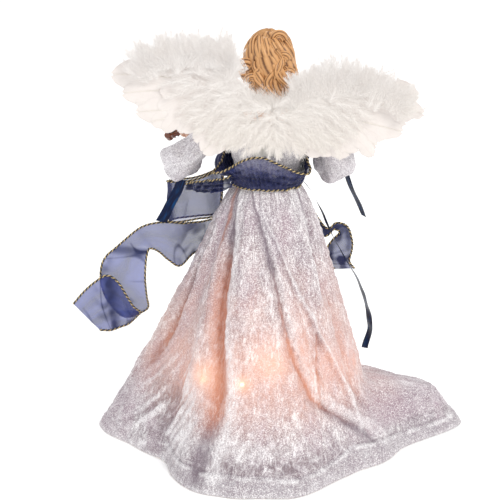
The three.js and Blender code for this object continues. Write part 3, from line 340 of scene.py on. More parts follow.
def velvet(name, lit):
    """Crushed velvet: silvery pile with darker bruises, painted glints and specks of painted shade in its
    grain; lit adds the lamps' glow, painted as emission and a rose tint, with painted shade in the creases
    and hollows and painted highlights on the ridges.
    """
    p = Paint(name, 0.6, Sheen_Weight=0.35, Sheen_Roughness=0.3)
    cloth = p.uv()
    streak = p.noise(1.0, 4.0, 0.66, p.stretch((420, 120, 1), cloth), 0.8)
    crush = p.noise(1.0, 3.0, 0.6, p.stretch((110, 50, 1), cloth), 1.4)
    patch = p.noise(1.0, 2.0, 0.55, p.stretch((34, 17, 1), cloth), 1.6)
    grain = p.noise(1000.0, 1.5, 0.7)
    pile = p.math(
        "ADD", p.times(streak, 0.5),
        p.math("ADD", p.times(crush, 0.3), p.times(patch, 0.2))
    )
    colour = p.ramp(p.span(pile, 0.41, 0.59), *PILE_STOPS)
    colour = p.mix(p.span(patch, 0.38, 0.62, 0.5, 0.0), colour, PATCH_LILAC, "MULTIPLY")
    # Painted glints and specks of painted shade in the pile's grain.
    sparkle = p.span(grain, 0.50, 0.64, 0.0, 0.7)
    shadow = p.span(grain, 0.36, 0.50, 0.55, 0.0)
    if lit:
        # Painted mauve shade in the valleys and under the train's ridge, with mauve tone at random.
        colour = p.mix(p.times(p.field("mauve"), 0.85), colour, MAUVE_SHADE_AND_TONE)
        colour = p.mix(p.times(p.field("hem"), 0.6), colour, HEM_GREY)
        # Bruises, and painted shade in the troughs of the crumpled patch.
        colour = p.mix(
            p.times(p.field("bruise"), p.span(streak, 0.42, 0.58, 1.0, 0.35)), colour,
            PLUM_BRUISE_AND_SHADE,
        )
        # Painted lamplight: a rose tint where the bulbs light the cloth from inside.
        lamp_tint = p.times(
            p.span(p.field("warm"), 0.0, 1.1, 0.0, 0.95), p.span(pile, 0.42, 0.62, 1.0, 0.45)
        )
        colour = p.mix(lamp_tint, colour, LIT_ROSE)
        # Painted shade in the creases, redder where the lamps light them.
        dusk = p.mix(p.span(p.field("warm"), 0.1, 0.7), CREASE_SHADE_COOL, CREASE_SHADE_WARM)
        colour = p.mix(
            p.times(p.field("crease"), p.span(streak, 0.40, 0.62, 0.95, 0.6)), colour, dusk
        )
        # Painted highlights on the ridges.
        colour = p.mix(
            p.times(p.field("silver"), p.span(streak, 0.38, 0.60, 0.35, 0.85)), colour,
            PILE_SILVER,
        )
        calm = p.math(
            "SUBTRACT", 1.0,
            p.times(p.math("MAXIMUM", p.field("crease"), p.field("bruise")), 0.75)
        )
        soft = p.span(p.field("warm"), 0.25, 1.0, 1.0, 0.3)
        sparkle = p.times(p.times(sparkle, calm), soft)
        shadow = p.times(shadow, soft)
    else:
        # The sewn copy for bodice and sleeves is painted lighter than the skirt: painted light.
        colour = p.mix(0.45, colour, SEWN_PAINTED_LIGHT)
    colour = p.mix(shadow, colour, PILE_SHADOW)
    colour = p.mix(sparkle, colour, PILE_SPARKLE)
    rough = p.span(pile, 0.35, 0.65, 0.7, 0.45)
    normal = p.bump(pile, 0.3, 0.0009)
    normal = p.bump(grain, 0.5, 0.0004, normal)
    if not lit:
        return p.finish(colour, rough, normal)
    # Painted glow: emission on the cloth for the bulbs' light shining through it.
    glow = p.times(p.field("glow"), p.span(pile, 0.3, 0.7, 0.85, 1.15))
    warm = p.ramp(glow, *GLOW_STOPS)
    return p.finish(colour, rough, normal, glow, warm)


def plain_cloth(name, colour, dark, weave=900.0, roughness=0.85):
    p = Paint(name, roughness, Sheen_Weight=0.25, Sheen_Roughness=0.5)
    a = p.bands(weave, along="X", warp=1.0)
    b = p.bands(weave, along="Z", warp=1.0)
    threads = p.times(a, b)
    cloud = p.noise(60.0, 3.0)
    tone = p.mix(p.span(cloud, 0.35, 0.7), dark, colour)
    tone = p.mix(p.span(threads, 0.0, 0.7, 0.25, 0.0), tone, dark)
    return p.finish(tone, p.span(cloud, 0.3, 0.7, roughness, roughness - 0.12), p.bump(threads, 0.3, 0.0002))


def organza(name, alpha, dusk):
    """Sheer navy organza: a fine open weave, denser along its folds and darker where painted shade is added
    to them.
    """
    p = Paint(name, 0.45, Sheen_Weight=0.15, Sheen_Roughness=0.3, Specular_IOR_Level=0.3)
    cloth = p.uv()
    a = p.bands(1.0, p.stretch((420, 0, 0), cloth), "X", 0.4)
    b = p.bands(1.0, p.stretch((0, 420, 0), cloth), "Y", 0.4)
    threads = p.math("MAXIMUM", a, b)
    moire = p.noise(1.0, 2.0, 0.5, p.stretch((60, 14, 1), cloth), 0.8)
    fold = p.field("fold")
    colour = p.ramp(p.span(moire, 0.36, 0.66), (0.0, (0.012, 0.023, 0.14)), (1.0, (0.055, 0.08, 0.34)))
    # Darker along the folds: denser cloth, and painted shade where it is added to the folds.
    colour = p.mix(p.times(fold, 0.9), colour, (0.004, 0.008, 0.055))
    colour = p.mix(dusk, colour, (0.008, 0.010, 0.045))
    thick = p.math(
        "ADD", p.span(threads, 0.0, 1.0, alpha - 0.04, alpha + 0.04),
        p.times(fold, 0.92 - alpha * 0.92)
    )
    p.wire(thick, p.skin.inputs["Alpha"])
    return p.finish(colour, p.span(moire, 0.3, 0.7, 0.5, 0.36), p.bump(threads, 0.25, 0.00015))


def satin(name):
    p = Paint(name, 0.36, Specular_IOR_Level=0.16)
    cloth = p.uv()
    ribs = p.bands(1.0, p.stretch((0, 700, 0), cloth), "Y", 0.3)
    fibre_sheen = p.noise(1.0, 3.0, 0.6, p.stretch((1200, 60, 1), cloth))
    # The bright blue end of the ramp is a painted sheen highlight along the fibre.
    colour = p.ramp(
        p.span(fibre_sheen, 0.3, 0.7),
        (0.0, (0.0006, 0.002, 0.015)), (0.6, (0.001, 0.008, 0.045)), (1.0, (0.003, 0.085, 0.27)),
    )
    return p.finish(colour, p.span(fibre_sheen, 0.3, 0.7, 0.4, 0.24), p.bump(ribs, 0.2, 0.00012))


def thread(name, colour, dark, metallic, roughness):
    p = Paint(name, roughness, Metallic=metallic)
    spin = p.noise(2600.0, 2.0, 0.7)
    tone = p.mix(p.span(spin, 0.35, 0.65), dark, colour)
    return p.finish(
        tone, p.span(spin, 0.3, 0.7, roughness + 0.12, roughness - 0.1), p.bump(spin, 0.4, 0.0001)
    )


# Colours of the feathers and the marabou, and of the glow painted on them for the light that shows through
# them.
VANE_LOW = (0.68, 0.625, 0.585)
VANE_HIGH = (0.67, 0.625, 0.60)
VANE_CLOUD = (0.58, 0.52, 0.49)
VANE_BARB = (0.48, 0.43, 0.41)
VANE_SHAFT = (0.54, 0.47, 0.42)
VANE_EDGE = (0.54, 0.49, 0.47)
VANE_PAINTED_GLOW = (1.0, 0.965, 0.94, 1)
DOWN_LOW = (0.59, 0.55, 0.505)
DOWN_HIGH = (0.60, 0.575, 0.56)
DOWN_TUFT = (0.55, 0.50, 0.47)
DOWN_PAINTED_GLOW = (1.0, 0.975, 0.95, 1)


def feather_vane(name):
    """White feather: barbs slant away from the shaft, cream below, cool grey towards the top."""
    p = Paint(name, 0.6, Sheen_Weight=0.35, Sheen_Roughness=0.4, Subsurface_Weight=0.0)
    cloth = p.uv()
    split = p.tree.nodes.new("ShaderNodeSeparateXYZ")
    p.wire(cloth, split.inputs[0])
    across = p.math("ABSOLUTE", p.math("SUBTRACT", split.outputs[0], 0.5))
    slant = p.math("SUBTRACT", split.outputs[1], p.times(across, 0.02))
    barbs = p.math("SINE", p.times(slant, 5200.0))
    soft = p.noise(120.0, 3.0, 0.6)
    high = p.span(p.height(), 0.30, 0.39)
    colour = p.mix(high, VANE_LOW, VANE_HIGH)
    colour = p.mix(p.span(soft, 0.35, 0.7, 0.3, 0.0), colour, VANE_CLOUD)
    colour = p.mix(p.span(barbs, -1.0, 1.0, 0.2, 0.0), colour, VANE_BARB)
    colour = p.mix(p.span(across, 0.0, 0.035, 0.35, 0.0), colour, VANE_SHAFT)
    colour = p.mix(p.span(across, 0.40, 0.5, 0.0, 0.35), colour, VANE_EDGE)
    rough = p.span(soft, 0.3, 0.7, 0.7, 0.52)
    # A weak painted glow stands for light shining through the vane.
    return p.finish(colour, rough, p.bump(barbs, 0.3, 0.0002), 0.16, VANE_PAINTED_GLOW)


def marabou(name):
    p = Paint(name, 0.75, Sheen_Weight=0.4, Sheen_Roughness=0.5)
    high = p.span(p.height(), 0.31, 0.385)
    tufts = p.noise(70.0, 3.0, 0.6)
    colour = p.mix(high, DOWN_LOW, DOWN_HIGH)
    colour = p.mix(p.span(tufts, 0.4, 0.65, 0.3, 0.0), colour, DOWN_TUFT)
    rough = p.span(tufts, 0.3, 0.7, 0.85, 0.65)
    # A weak painted glow stands for light shining through the down.
    return p.finish(colour, rough, p.bump(tufts, 0.1, 0.0003), 0.24, DOWN_PAINTED_GLOW)


def hair_paint(name):
    """Golden tan paint on cast locks, with painted brown shade in the grooves and on the cap under the locks.
    """
    p = Paint(name, 0.42, Specular_IOR_Level=0.4, Coat_Weight=0.12, Coat_Roughness=0.3)
    # Painted shade in the grooves of the locks and on the cap under them, varied at random.
    groove_shade = p.field("groove")
    drift = p.noise(160.0, 4.0, 0.6)
    fine = p.noise(900.0, 2.0, 0.6)
    deep = p.math("ADD", groove_shade, p.span(drift, 0.3, 0.7, -0.22, 0.22))
    colour = p.ramp(
        deep,
        (0.0, (0.66, 0.35, 0.145)),
        (0.4, (0.54, 0.28, 0.115)),
        (0.75, (0.29, 0.125, 0.045)),
        (1.0, (0.13, 0.052, 0.02)),
    )
    colour = p.mix(p.span(fine, 0.4, 0.7, 0.0, 0.12), colour, (0.8, 0.55, 0.3))
    return p.finish(colour, p.span(drift, 0.3, 0.7, 0.52, 0.36), p.bump(fine, 0.25, 0.0002))


def skin_paint(name, with_face):
    p = Paint(name, 0.38, Subsurface_Weight=0.0, Specular_IOR_Level=0.45)
    cloud = p.noise(90.0, 3.0)
    colour = p.mix(p.span(cloud, 0.35, 0.65), (0.80, 0.53, 0.40), (0.86, 0.61, 0.48))
    if with_face:
        colour = p.mix(p.span(p.field("blush"), 0.0, 1.0, 0.0, 0.45), colour, (0.78, 0.33, 0.27))
        colour = p.mix(p.field("brow"), colour, (0.30, 0.16, 0.07))
        colour = p.mix(p.field("lip"), colour, (0.62, 0.20, 0.18))
        colour = p.mix(p.field("lash"), colour, (0.10, 0.055, 0.035))
    return p.finish(colour, p.span(cloud, 0.3, 0.7, 0.46, 0.34), p.bump(p.noise(700.0, 2.0), 0.12, 0.0001))


def moulded(name, colour, roughness=0.45, speck=0.05, **sockets):
    p = Paint(name, roughness, **sockets)
    cloud = p.noise(140.0, 3.0)
    fine = p.noise(1600.0, 2.0)
    darker = tuple(c * (1 - 3 * speck) for c in colour)
    tone = p.mix(p.span(cloud, 0.3, 0.7), darker, colour)
    return p.finish(
        tone, p.span(cloud, 0.3, 0.7, roughness + 0.1, roughness - 0.06), p.bump(fine, 0.15, 0.0001)
    )


def wood(name, light, dark, scale, roughness=0.3, coat=0.5, turn=(0, 0, 0)):
    p = Paint(name, roughness, Coat_Weight=coat, Coat_Roughness=0.12)
    run = p.stretch((scale * 0.12, scale, scale), turn=turn)
    rings = p.bands(1.0, run, "Y", 3.0, 3.0)
    pores = p.noise(1.0, 4.0, 0.7, p.stretch((scale * 0.5, scale * 6, scale * 6), turn=turn))
    tone = p.ramp(rings, (0.0, dark), (1.0, light))
    tone = p.mix(p.span(pores, 0.45, 0.7, 0.0, 0.4), tone, tuple(c * 0.4 for c in dark))
    return p.finish(
        tone, p.span(pores, 0.3, 0.7, roughness + 0.08, roughness - 0.05), p.bump(pores, 0.12, 0.0001)
    )


def metal(name, colour, roughness):
    p = Paint(name, roughness, Metallic=1.0)
    draw = p.noise(1.0, 3.0, 0.6, p.stretch((900, 900, 150)))
    tone = p.mix(p.span(draw, 0.3, 0.7), tuple(c * 0.75 for c in colour), colour)
    return p.finish(
        tone, p.span(draw, 0.3, 0.7, roughness + 0.1, roughness - 0.08), p.bump(draw, 0.15, 0.0001)
    )


def dress(node, material):
    """A CAD node keeps its shape and gets a better material."""
    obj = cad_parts[node]
    for slot in obj.material_slots:
        slot.material = material
    if not obj.material_slots:
        obj.data.materials.append(material)


def piece(obj, material, body=None, stands_for=()):
    obj.data.materials.append(material)
    if stands_for:
        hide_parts(*stands_for)
    if body:
        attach(obj, body)
    return obj


skirt_velvet = velvet("skirt_velvet", True)
sewn_velvet = velvet("sewn_velvet", False)
sheer = organza("sheer_organza", 0.75, 0.0)
loose_organza = organza("loose_organza", 0.5, 0.0)
gathered_organza = organza("gathered_organza", 0.34, 0.4)
blue_satin = satin("blue_satin")
gold_thread = thread("gold_thread", (0.78, 0.62, 0.34), (0.34, 0.24, 0.10), 0.75, 0.32)
black_thread = thread("black_thread", (0.03, 0.03, 0.045), (0.008, 0.008, 0.012), 0.2, 0.5)
white_feather = feather_vane("white_feather")
white_down = marabou("white_down")
lock_paint = hair_paint("lock_paint")
face_paint = skin_paint("face_paint", True)
hand_paint = skin_paint("hand_paint", False)

# Camera, floor and light

# Camera at the photograph's angle: place in mm, tilt from straight down, sensor, lens, and the photograph's
# side in pixels.
CAMERA_AT = (-15.7, -1503.5, 742.2)
CAMERA_TILT = math.radians(70)
CAMERA_SENSOR = 36
CAMERA_LENS = 124.4
PHOTO_SIDE = 500


def camera_ray(pixel):
    """Direction from the camera through a pixel of the photograph, one mm long."""
    right, down = np.array(pixel) - PHOTO_SIDE / 2
    focus = CAMERA_LENS / CAMERA_SENSOR * PHOTO_SIDE
    ahead = np.array([0, math.sin(CAMERA_TILT), -math.cos(CAMERA_TILT)])
    up = np.array([0, math.cos(CAMERA_TILT), math.sin(CAMERA_TILT)])
    ray = ahead * focus + np.array([right, 0, 0]) - up * down
    return ray / np.linalg.norm(ray)


camera = bpy.data.objects.new("camera", bpy.data.cameras.new("camera"))
bpy.context.scene.collection.objects.link(camera)
camera.location = put(CAMERA_AT)
camera.rotation_euler = (CAMERA_TILT, 0, 0)
camera.data.sensor_width = CAMERA_SENSOR
camera.data.lens = CAMERA_LENS
camera.data.clip_end = 20
bpy.context.scene.camera = camera
bpy.context.scene.view_settings.view_transform = "Standard"

floor = mesh(
    "floor",
    [(-3000, -3000, -0.4), (3000, -3000, -0.4), (3000, 3000, -0.4), (-3000, 3000, -0.4)],
    [(0, 1, 2, 3)],
)
floor_paint = Paint("pale_floor", 0.9)
floor_tone = floor_paint.noise(2.0, 2.0)
floor.data.materials.append(
    floor_paint.finish(
        floor_paint.mix(floor_paint.span(floor_tone, 0.3, 0.7), (0.93, 0.93, 0.93), (0.95, 0.95, 0.95)),
        glow=0.2, glow_colour=(1.0, 1.0, 1.0, 1.0),
    )
)


def lamp(name, at, size, power, colour=(1, 1, 1)):
    data = bpy.data.lights.new(name, "AREA")
    data.size = size
    data.energy = power
    data.color = colour
    obj = bpy.data.objects.new(name, data)
    bpy.context.scene.collection.objects.link(obj)
    obj.location = at
    aim = np.array([0, 0, 0.2]) - np.array(at)
    obj.rotation_euler = (
        math.acos(-aim[2] / np.linalg.norm(aim)),
        0,
        math.atan2(aim[1], aim[0]) - math.pi / 2,
    )
    return obj


lamp("key", (1.1, -1.6, 1.9), 0.8, 30, (1.0, 0.99, 0.97))
lamp("fill", (-1.8, -1.0, 0.9), 1.4, 7, (0.96, 0.97, 1.0))
lamp("rim", (0.3, 1.7, 1.9), 1.2, 14)
world = bpy.data.worlds.new("studio")
bpy.context.scene.world = world
world.use_nodes = True
world.node_tree.nodes["Background"].inputs["Color"].default_value = (1, 1, 1, 1)
world.node_tree.nodes["Background"].inputs["Strength"].default_value = 0.72

# Sizes shared with the frame, in millimetres

TORSO_FOOT = 250.3
TORSO_HEIGHT = 72.0
TORSO_TOP = TORSO_FOOT + TORSO_HEIGHT
WAIST = 268.0
WAIST_RADIUS = 25.0
HEM_REACH = 118.0
TORSO = [
    (0, 1, 1), (0.14, 0.98, 0.98), (0.3, 1.06, 0.97), (0.52, 1.24, 1.02), (0.74, 1.36, 1.04),
    (0.9, 1.22, 0.88), (1, 0.94, 0.62)
]


def torso_radii(z):
    s = (np.asarray(z, float) - TORSO_FOOT) / TORSO_HEIGHT
    shares = [row[0] for row in TORSO]
    return (
        WAIST_RADIUS * np.interp(s, shares, [row[1] for row in TORSO]),
        WAIST_RADIUS * np.interp(s, shares, [row[2] for row in TORSO]),
    )


# Skirt

# Angle from +X, reach and train as shares of the hem reach, power of the fall.
HEM = [
    (0, 0.93, 1, 0.34), (12, 0.95, 1, 0.7), (24, 0.96, 1, 0.55), (40, 0.98, 1, 0.24), (65, 1, 1.05, 0.03),
    (90, 0.97, 1, 0), (120, 1.03, 1, 0), (145, 1.2, 1, 0), (163, 1.42, 1.15, 0), (172, 1.36, 1.1, 0),
    (184, 1.1, 1, 0), (196, 0.96, 0.95, 0), (206, 0.9, 0.95, 0), (221, 0.96, 0.95, 0), (237, 1.06, 1, 0),
    (250, 1.02, 0.95, 0), (265, 1, 0.95, 0), (285, 0.995, 0.95, 0), (305, 0.9, 0.95, 0), (322, 0.9, 1.05, 0),
    (340, 0.95, 1.05, 0.06), (352, 0.93, 1, 0.17),
]
# Broad folds: angle at the waist, angle at the hem, depth as a share (valleys below zero), width in degrees.
FOLDS = [
    (243, 255, 0.5, 9), (266, 280, 0.3, 8), (305, 338, 0.45, 9), (350, 12, 0.3, 10), (12, 30, -0.6, 10),
    (40, 48, 0.5, 10), (62, 66, -0.8, 10), (85, 88, 0.6, 11), (108, 110, -0.8, 10), (130, 132, 0.5, 10),
    (152, 150, -0.5, 9), (190, 190, 0.4, 7), (216, 221, 0.45, 8),
]
# Creases and ridges that wander: depth, width in degrees, then the line in three parts. The middle part is
# pixels of the photograph. The parts before and after it are shares of the fall and angles.
CREASE_LINES = {
    "left_dark": (
        -0.55, 3.4, [(0, 207)],
        [(228.4, 217.9), (223.2, 235.3), (218.9, 250.9), (212.8, 266.5)], [(0.36, 205)],
    ),
    "main": (
        -1.15, 6.0, [(0, 213)],
        [
            (235.3, 202.3), (231, 228), (227.5, 251), (224.1, 275), (220.6, 298), (218, 324), (218, 350),
            (217.5, 376), (218, 393), (212, 426), (203, 445), (195, 467),
        ],
        [(1, 236.7)],
    ),
    "middle": (
        -0.7, 3.8, [(0, 243)],
        [
            (258, 218), (265, 242), (271, 266.5), (277, 289), (281.3, 310), (286.5, 332), (292.5, 355),
            (299.5, 372), (308, 389.5), (313.3, 400), (325, 410), (337, 416), (362, 430),
        ],
        [(0.95, 338)],
    ),
    "seam_ridge": (
        0.3, 2.2, [(0, 259.4)],
        [
            (264.8, 218), (277, 242), (289, 272), (299.5, 296), (311.6, 317), (320.3, 337.5), (327, 350),
            (336, 369), (345, 390), (352, 410),
        ],
        [(0.9, 333)],
    ),
    "right_upper": (
        -0.5, 4.5, [(0, 331)], [(304.7, 216), (310.7, 235), (315, 254), (320.3, 280)], [(0.42, 325)],
    ),
    "right_ridge": (0.35, 3.5, [(0, 320)], [(301, 211), (306.4, 237), (311.6, 268)], [(0.38, 316)]),
    "short": (
        -0.35, 2.4, [(0.45, 311)], [(318.5, 346), (316.8, 367), (320, 384), (321, 400)], [(0.8, 312)],
    ),
    "right_lower": (-0.35, 4.0, [(0.36, 333)], [(337.6, 329), (342.8, 351), (350, 380)], [(0.84, 341)]),
    "left_edge": (
        -0.8, 3.0, [(0.16, 190)], [(193.7, 275), (185, 296), (174.7, 317), (166, 332)], [(0.72, 175)],
    ),
    "left_smooth": (
        -0.55, 7.5, [(0.06, 207)],
        [
            (209.3, 258), (197.8, 285.5), (190, 306), (180, 329), (171, 346), (154.8, 360), (143.5, 370.5),
        ],
        [(0.92, 173)],
    ),
    "front_left": (-0.4, 3.5, [(0, 120), (0.4, 121), (0.9, 119)], [], []),
    "front_right": (-0.4, 3.5, [(0, 75), (0.5, 77), (0.95, 80)], [], []),
    "side_right": (-0.4, 3.5, [(0, 25), (0.5, 36), (0.95, 39)], [], []),
}


def cyclic(column, degrees):
    table = np.array(HEM)
    n = len(table)
    at = np.mod(degrees, 360)
    k = np.searchsorted(table[:, 0], at, side="right") - 1
    k = np.where(k < 0, n - 1, k)
    after = (k + 1) % n
    span = np.mod(table[after, 0] - table[k, 0] + 360, 360)
    t = np.mod(at - table[k, 0], 360) / span
    p0, p1 = table[(k - 1) % n, column], table[k, column]
    p2, p3 = table[after, column], table[(k + 2) % n, column]
    return p1 + 0.5 * t * (p2 - p0 + t * (2 * p0 - 5 * p1 + 4 * p2 - p3 + t * (3 * (p1 - p2) + p3 - p0)))


SKIRT_TOP = float(max(torso_radii(WAIST))) + 3.8
SASH_FOOT = WAIST - 6
BAND = (WAIST - SASH_FOOT + 1.6) / WAIST
TRAIN_START = 0.75
TRAIN_RIDGE = 0.86
# Share of the train's reach that it has at its ridge.
TRAIN_CLIMB = 0.82
# How far the cloth stands out just under the waistband, in mm, and the share of the fall in which it fills.
PUFF = 7
PUFF_FALL = 0.06
FOLD_DEPTH = 9.5
# Where a camera ray is tried for the skirt: nearest and furthest in mm, and number of places.
RAY_NEAR = 1350
RAY_FAR = 1800
RAY_STEPS = 9001


def swing(a, b):
    return (b - a + 540) % 360 - 180


def smooth_radius(degrees, t):
    """The skirt's outer radius without its folds, at angles and shares of the fall below the waistband."""
    climb = smoothstep(t, TRAIN_START, TRAIN_RIDGE) * TRAIN_CLIMB
    beyond = np.maximum(0, (t - TRAIN_RIDGE) / (1 - TRAIN_RIDGE)) * (1 - TRAIN_CLIMB)
    train = HEM_REACH * np.maximum(0, cyclic(3, degrees)) * (climb + beyond)
    reach = HEM_REACH * cyclic(1, degrees)
    puff = PUFF * (1 - np.exp(-t / PUFF_FALL)) * (1 - t)
    return SKIRT_TOP + (reach - SKIRT_TOP) * t ** cyclic(2, degrees) + puff + train


def on_skirt(pixel):
    """Share of the fall and angle where the camera's ray through a pixel meets the skirt."""
    p = np.array(CAMERA_AT) + camera_ray(pixel) * np.linspace(RAY_NEAR, RAY_FAR, RAY_STEPS)[:, None]
    degrees = np.degrees(np.arctan2(p[:, 1], p[:, 0]))
    t = (1 - p[:, 2] / WAIST - BAND) / (1 - BAND)
    level = (p[:, 2] >= 0) & (p[:, 2] <= WAIST)
    met = level & (np.hypot(p[:, 0], p[:, 1]) < smooth_radius(degrees, np.clip(t, 0, 1)))
    if not met.any():
        raise ValueError(f"the ray through pixel {pixel} misses the skirt")
    first = int(np.argmax(met))
    return float(t[first]), float(degrees[first] % 360)


CREASES = {
    name: (depth, width, [*above, *map(on_skirt, seen), *below])
    for name, (depth, width, above, seen, below) in CREASE_LINES.items()
}


def near_crease(name, degrees, t, shift=0.0, width=None):
    """How close each place is to a crease's line, from 0 to 1, dying out at its two ends."""
    _, own, path = CREASES[name]
    path = np.array(path, float)
    centre = np.interp(t, path[:, 0], path[:, 1]) + shift
    ends = (
        smoothstep(t, path[0, 0] - 0.05, path[0, 0] + 0.05)
        * (1 - smoothstep(t, path[-1, 0] - 0.08, path[-1, 0] + 0.03))
    )
    return (
        np.exp(-((swing(centre, degrees) / (width or own)) ** 2))
        * np.where(path[0, 0] < 0.01, np.maximum(ends, t < 0.05), ends)
    )


def skirt_radius(degrees, share):
    """Outer radius, and the sum of the folds, at angles and shares of the way from waist to hem."""
    t = np.maximum(0, (share - BAND) / (1 - BAND))
    fade = np.minimum(1, t * 4) * (1 - 0.4 * t)
    total = np.zeros_like(t)
    for start, end, depth, width in FOLDS:
        centre = start + swing(start, end) * t
        total += depth * np.exp(-((swing(centre, degrees) / width) ** 2))
    for name, (depth, _, _) in CREASES.items():
        total += depth * near_crease(name, degrees, t)
    gathers = np.sin(np.radians(degrees) * 46 + 2 * np.sin(np.radians(degrees) * 5)) * np.exp(-t / 0.08) * 0.8
    radius = smooth_radius(degrees, t) + FOLD_DEPTH * fade * total
    return radius + gathers * np.minimum(1, t * 30), total


def grid_normals(p, closed=True):
    """Outward normals of a grid of points whose columns go round."""
    down = np.gradient(p, axis=0)
    if closed:
        round_it = np.roll(p, -1, axis=1) - np.roll(p, 1, axis=1)
    else:
        round_it = np.gradient(p, axis=1)
    return unit(np.cross(round_it, -down))


def make_skirt():
    rows, columns = 280, 700
    share = np.concatenate([[0], np.linspace(BAND * 0.5, 1, rows - 1)])[:, None] * np.ones((1, columns))
    degrees = (np.arange(columns) * 360 / columns)[None] * np.ones((rows, 1))
    radius, folds = skirt_radius(degrees, share)
    a = np.radians(degrees)
    p = np.stack([radius * np.cos(a), radius * np.sin(a), WAIST * (1 - share)], -1)
    step = np.linalg.norm(np.diff(p, axis=0), axis=2)
    from_hem = np.concatenate([np.cumsum(step[::-1], 0)[::-1], np.zeros((1, columns))])
    n = grid_normals(p)
    t = np.clip((share - BAND) / (1 - BAND), 0, 1)
    free = np.minimum(1, t * 8)
    crush = 0.4 * ripple(p, 9, 1) + 0.7 * ripple(p * [1, 1, 0.5], 26, 2) + 0.2 * ripple(p, 4, 3)
    seam_at = 19 + 3 * ripple(np.stack([np.cos(a), np.sin(a)], -1), 1.4, 6)
    sewn = 1 - 0.85 * bell(swing(188, degrees), 0, 26)
    band = (1 - smoothstep(from_hem, seam_at - 2, seam_at)) * sewn
    seam = bell(from_hem, seam_at + 0.8, 1.1) * sewn
    lip = bell(from_hem, seam_at - 2.6, 1.6) * sewn * np.clip(0.6 + ripple(p, 22, 10), 0, 1)
    pucker = 0.45 * ripple(p * [1, 1, 0.25], 7, 4) * bell(from_hem, seam_at - 2, 8)
    p = (
        p
        + n * (
            (
                crush * free * np.minimum(1, from_hem / 12) + 0.7 * band - 1.1 * seam + 0.9 * lip + pucker
            )[..., None]
        )
    )
    slant = np.stack([degrees * 1.2 + t * 105, t * 22, degrees * 0], -1)
    crumpled = bell(swing(204, degrees), 0, 20) * bell(t, 0.80, 0.13)
    p = p + n * (1.3 * ripple(slant, 6, 9, 8) * crumpled)[..., None]
    p[..., 2] = np.maximum(p[..., 2], 0.3)
    n = grid_normals(p)
    # Painted lamplight: how near each place is to a bulb and how squarely it faces it.
    near, star = np.zeros((rows, columns)), np.zeros((rows, columns))
    for i in range(1, 11):
        low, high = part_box(f"bulb_{i}")
        at = back_to_mm([(low.x + high.x) / 2, (low.y + high.y) / 2, (low.z + high.z) / 2])
        away = p - at
        d = np.linalg.norm(away, axis=2)
        square = np.clip((away / d[..., None] * n).sum(-1), 0.05, 1)
        near += square * (24**2 / (d**2 + 16**2)) ** 1.3
    # Where a lamp's own spot shows through: angle, share of the fall, brightness and size in mm.
    for angle, fall, bright, size in (
        (256, 0.622, 1.7, 1.4), (256, 0.62, 0.26, 8), (230, 0.635, 0.22, 3.4), (229, 0.62, 0.26, 14),
        (270, 0.55, 0.16, 18),
        (318, 0.60, 0.07, 14), (20, 0.62, 0.3, 4), (60, 0.62, 0.2, 10), (105, 0.62, 0.4, 4),
        (150, 0.62, 0.3, 6),
    ):
        row = int(np.argmin(np.abs(t[:, 0] - fall)))
        spot = np.linalg.norm(p - p[row, int(angle / 360 * columns)], axis=2)
        star += bright * np.exp(-((spot / size) ** 2))
    # Painted lamplight: a broad glow low inside the bell, a rosy tint that varies at random, and a streak
    # along the main crease.
    inside = (
        bell(p[..., 2], 105, 72) * (1 - smoothstep(from_hem, 80, 20)) * (1 - smoothstep(radius, 108, 150))
    )
    rosy = bell(p[..., 2], 150, 70) * np.clip(0.5 + 0.6 * ripple(p * [1, 1, 0.45], 24, 12), 0, 1)
    near_main = (
        near_crease("main", degrees, t, -2, 7) * smoothstep(t, 0.12, 0.32)
        + near_crease("left_dark", degrees, t, 0, 4)
    )
    warm = (
        0.42 * near + 0.42 * inside + 0.2 * rosy + 1.1 * np.minimum(star, 0.5)
        + 0.45 * near_main * (1 - smoothstep(t, 0.66, 0.85))
    )
    warm = np.clip(warm, 0, 1.3)
    # The painted glow: emission on the cloth for the bulbs' light through it.
    glow = 0.07 * near + star + 0.02 * inside + 0.01 * rosy

    def line(name, width, shift=0.0):
        return near_crease(name, degrees, t, shift, width)

    # Painted shade along the creases, in the hem's seam and in the valleys of the folds.
    crease = (
        line("left_dark", 2.8) + 0.95 * line("main", 3.4) + 0.5 * line("main", 6.5, -3) + line("middle", 1.4)
        + 0.4 * line("middle", 3.5, -2) + 0.45 * line("seam_ridge", 2.0, -3.2)
        + 0.75 * line("right_upper", 2.2)
        + 0.7 * line("short", 1.5) + 0.45 * line("right_lower", 2.6) + line("left_edge", 1.7)
        + 0.8 * line("main", 0.7, 4.2) * smoothstep(t, 0.35, 0.5)
        + 0.5 * bell(from_hem, seam_at + 0.8, 0.9) * sewn
        + 0.35 * line("main", 1.6, 17) + 0.3 * line("middle", 1.4, 13) + 0.3 * line("main", 1.5, -12)
        + np.clip(-folds, 0, 1) * 0.5 * (np.abs(swing(90, degrees)) < 100)
    )
    # Painted highlights on the ridges, the hem's lip and bottom edge, a band above the hem, and the crests of
    # the crumpled patch.
    silver = (
        0.9 * line("main", 3.5, 8.5) + 0.9 * line("seam_ridge", 1.0) + 0.6 * line("right_ridge", 3)
        + 0.5 * line("middle", 2.2, 4.6) + 0.6 * line("middle", 3.0, 9) * smoothstep(t, 0.6, 0.75)
        + 1.5 * lip + 0.5 * bell(from_hem, 1.5, 2.0)
        + 0.75 * bell(from_hem, 42, 8) * bell(swing(258, degrees), 0, 24)
        + 0.7 * bell(swing(222, degrees), 0, 7) * bell(t, 0.8, 0.12)
        + 1.4 * np.clip(ripple(slant, 6, 9, 8), 0, 1) * crumpled
    )
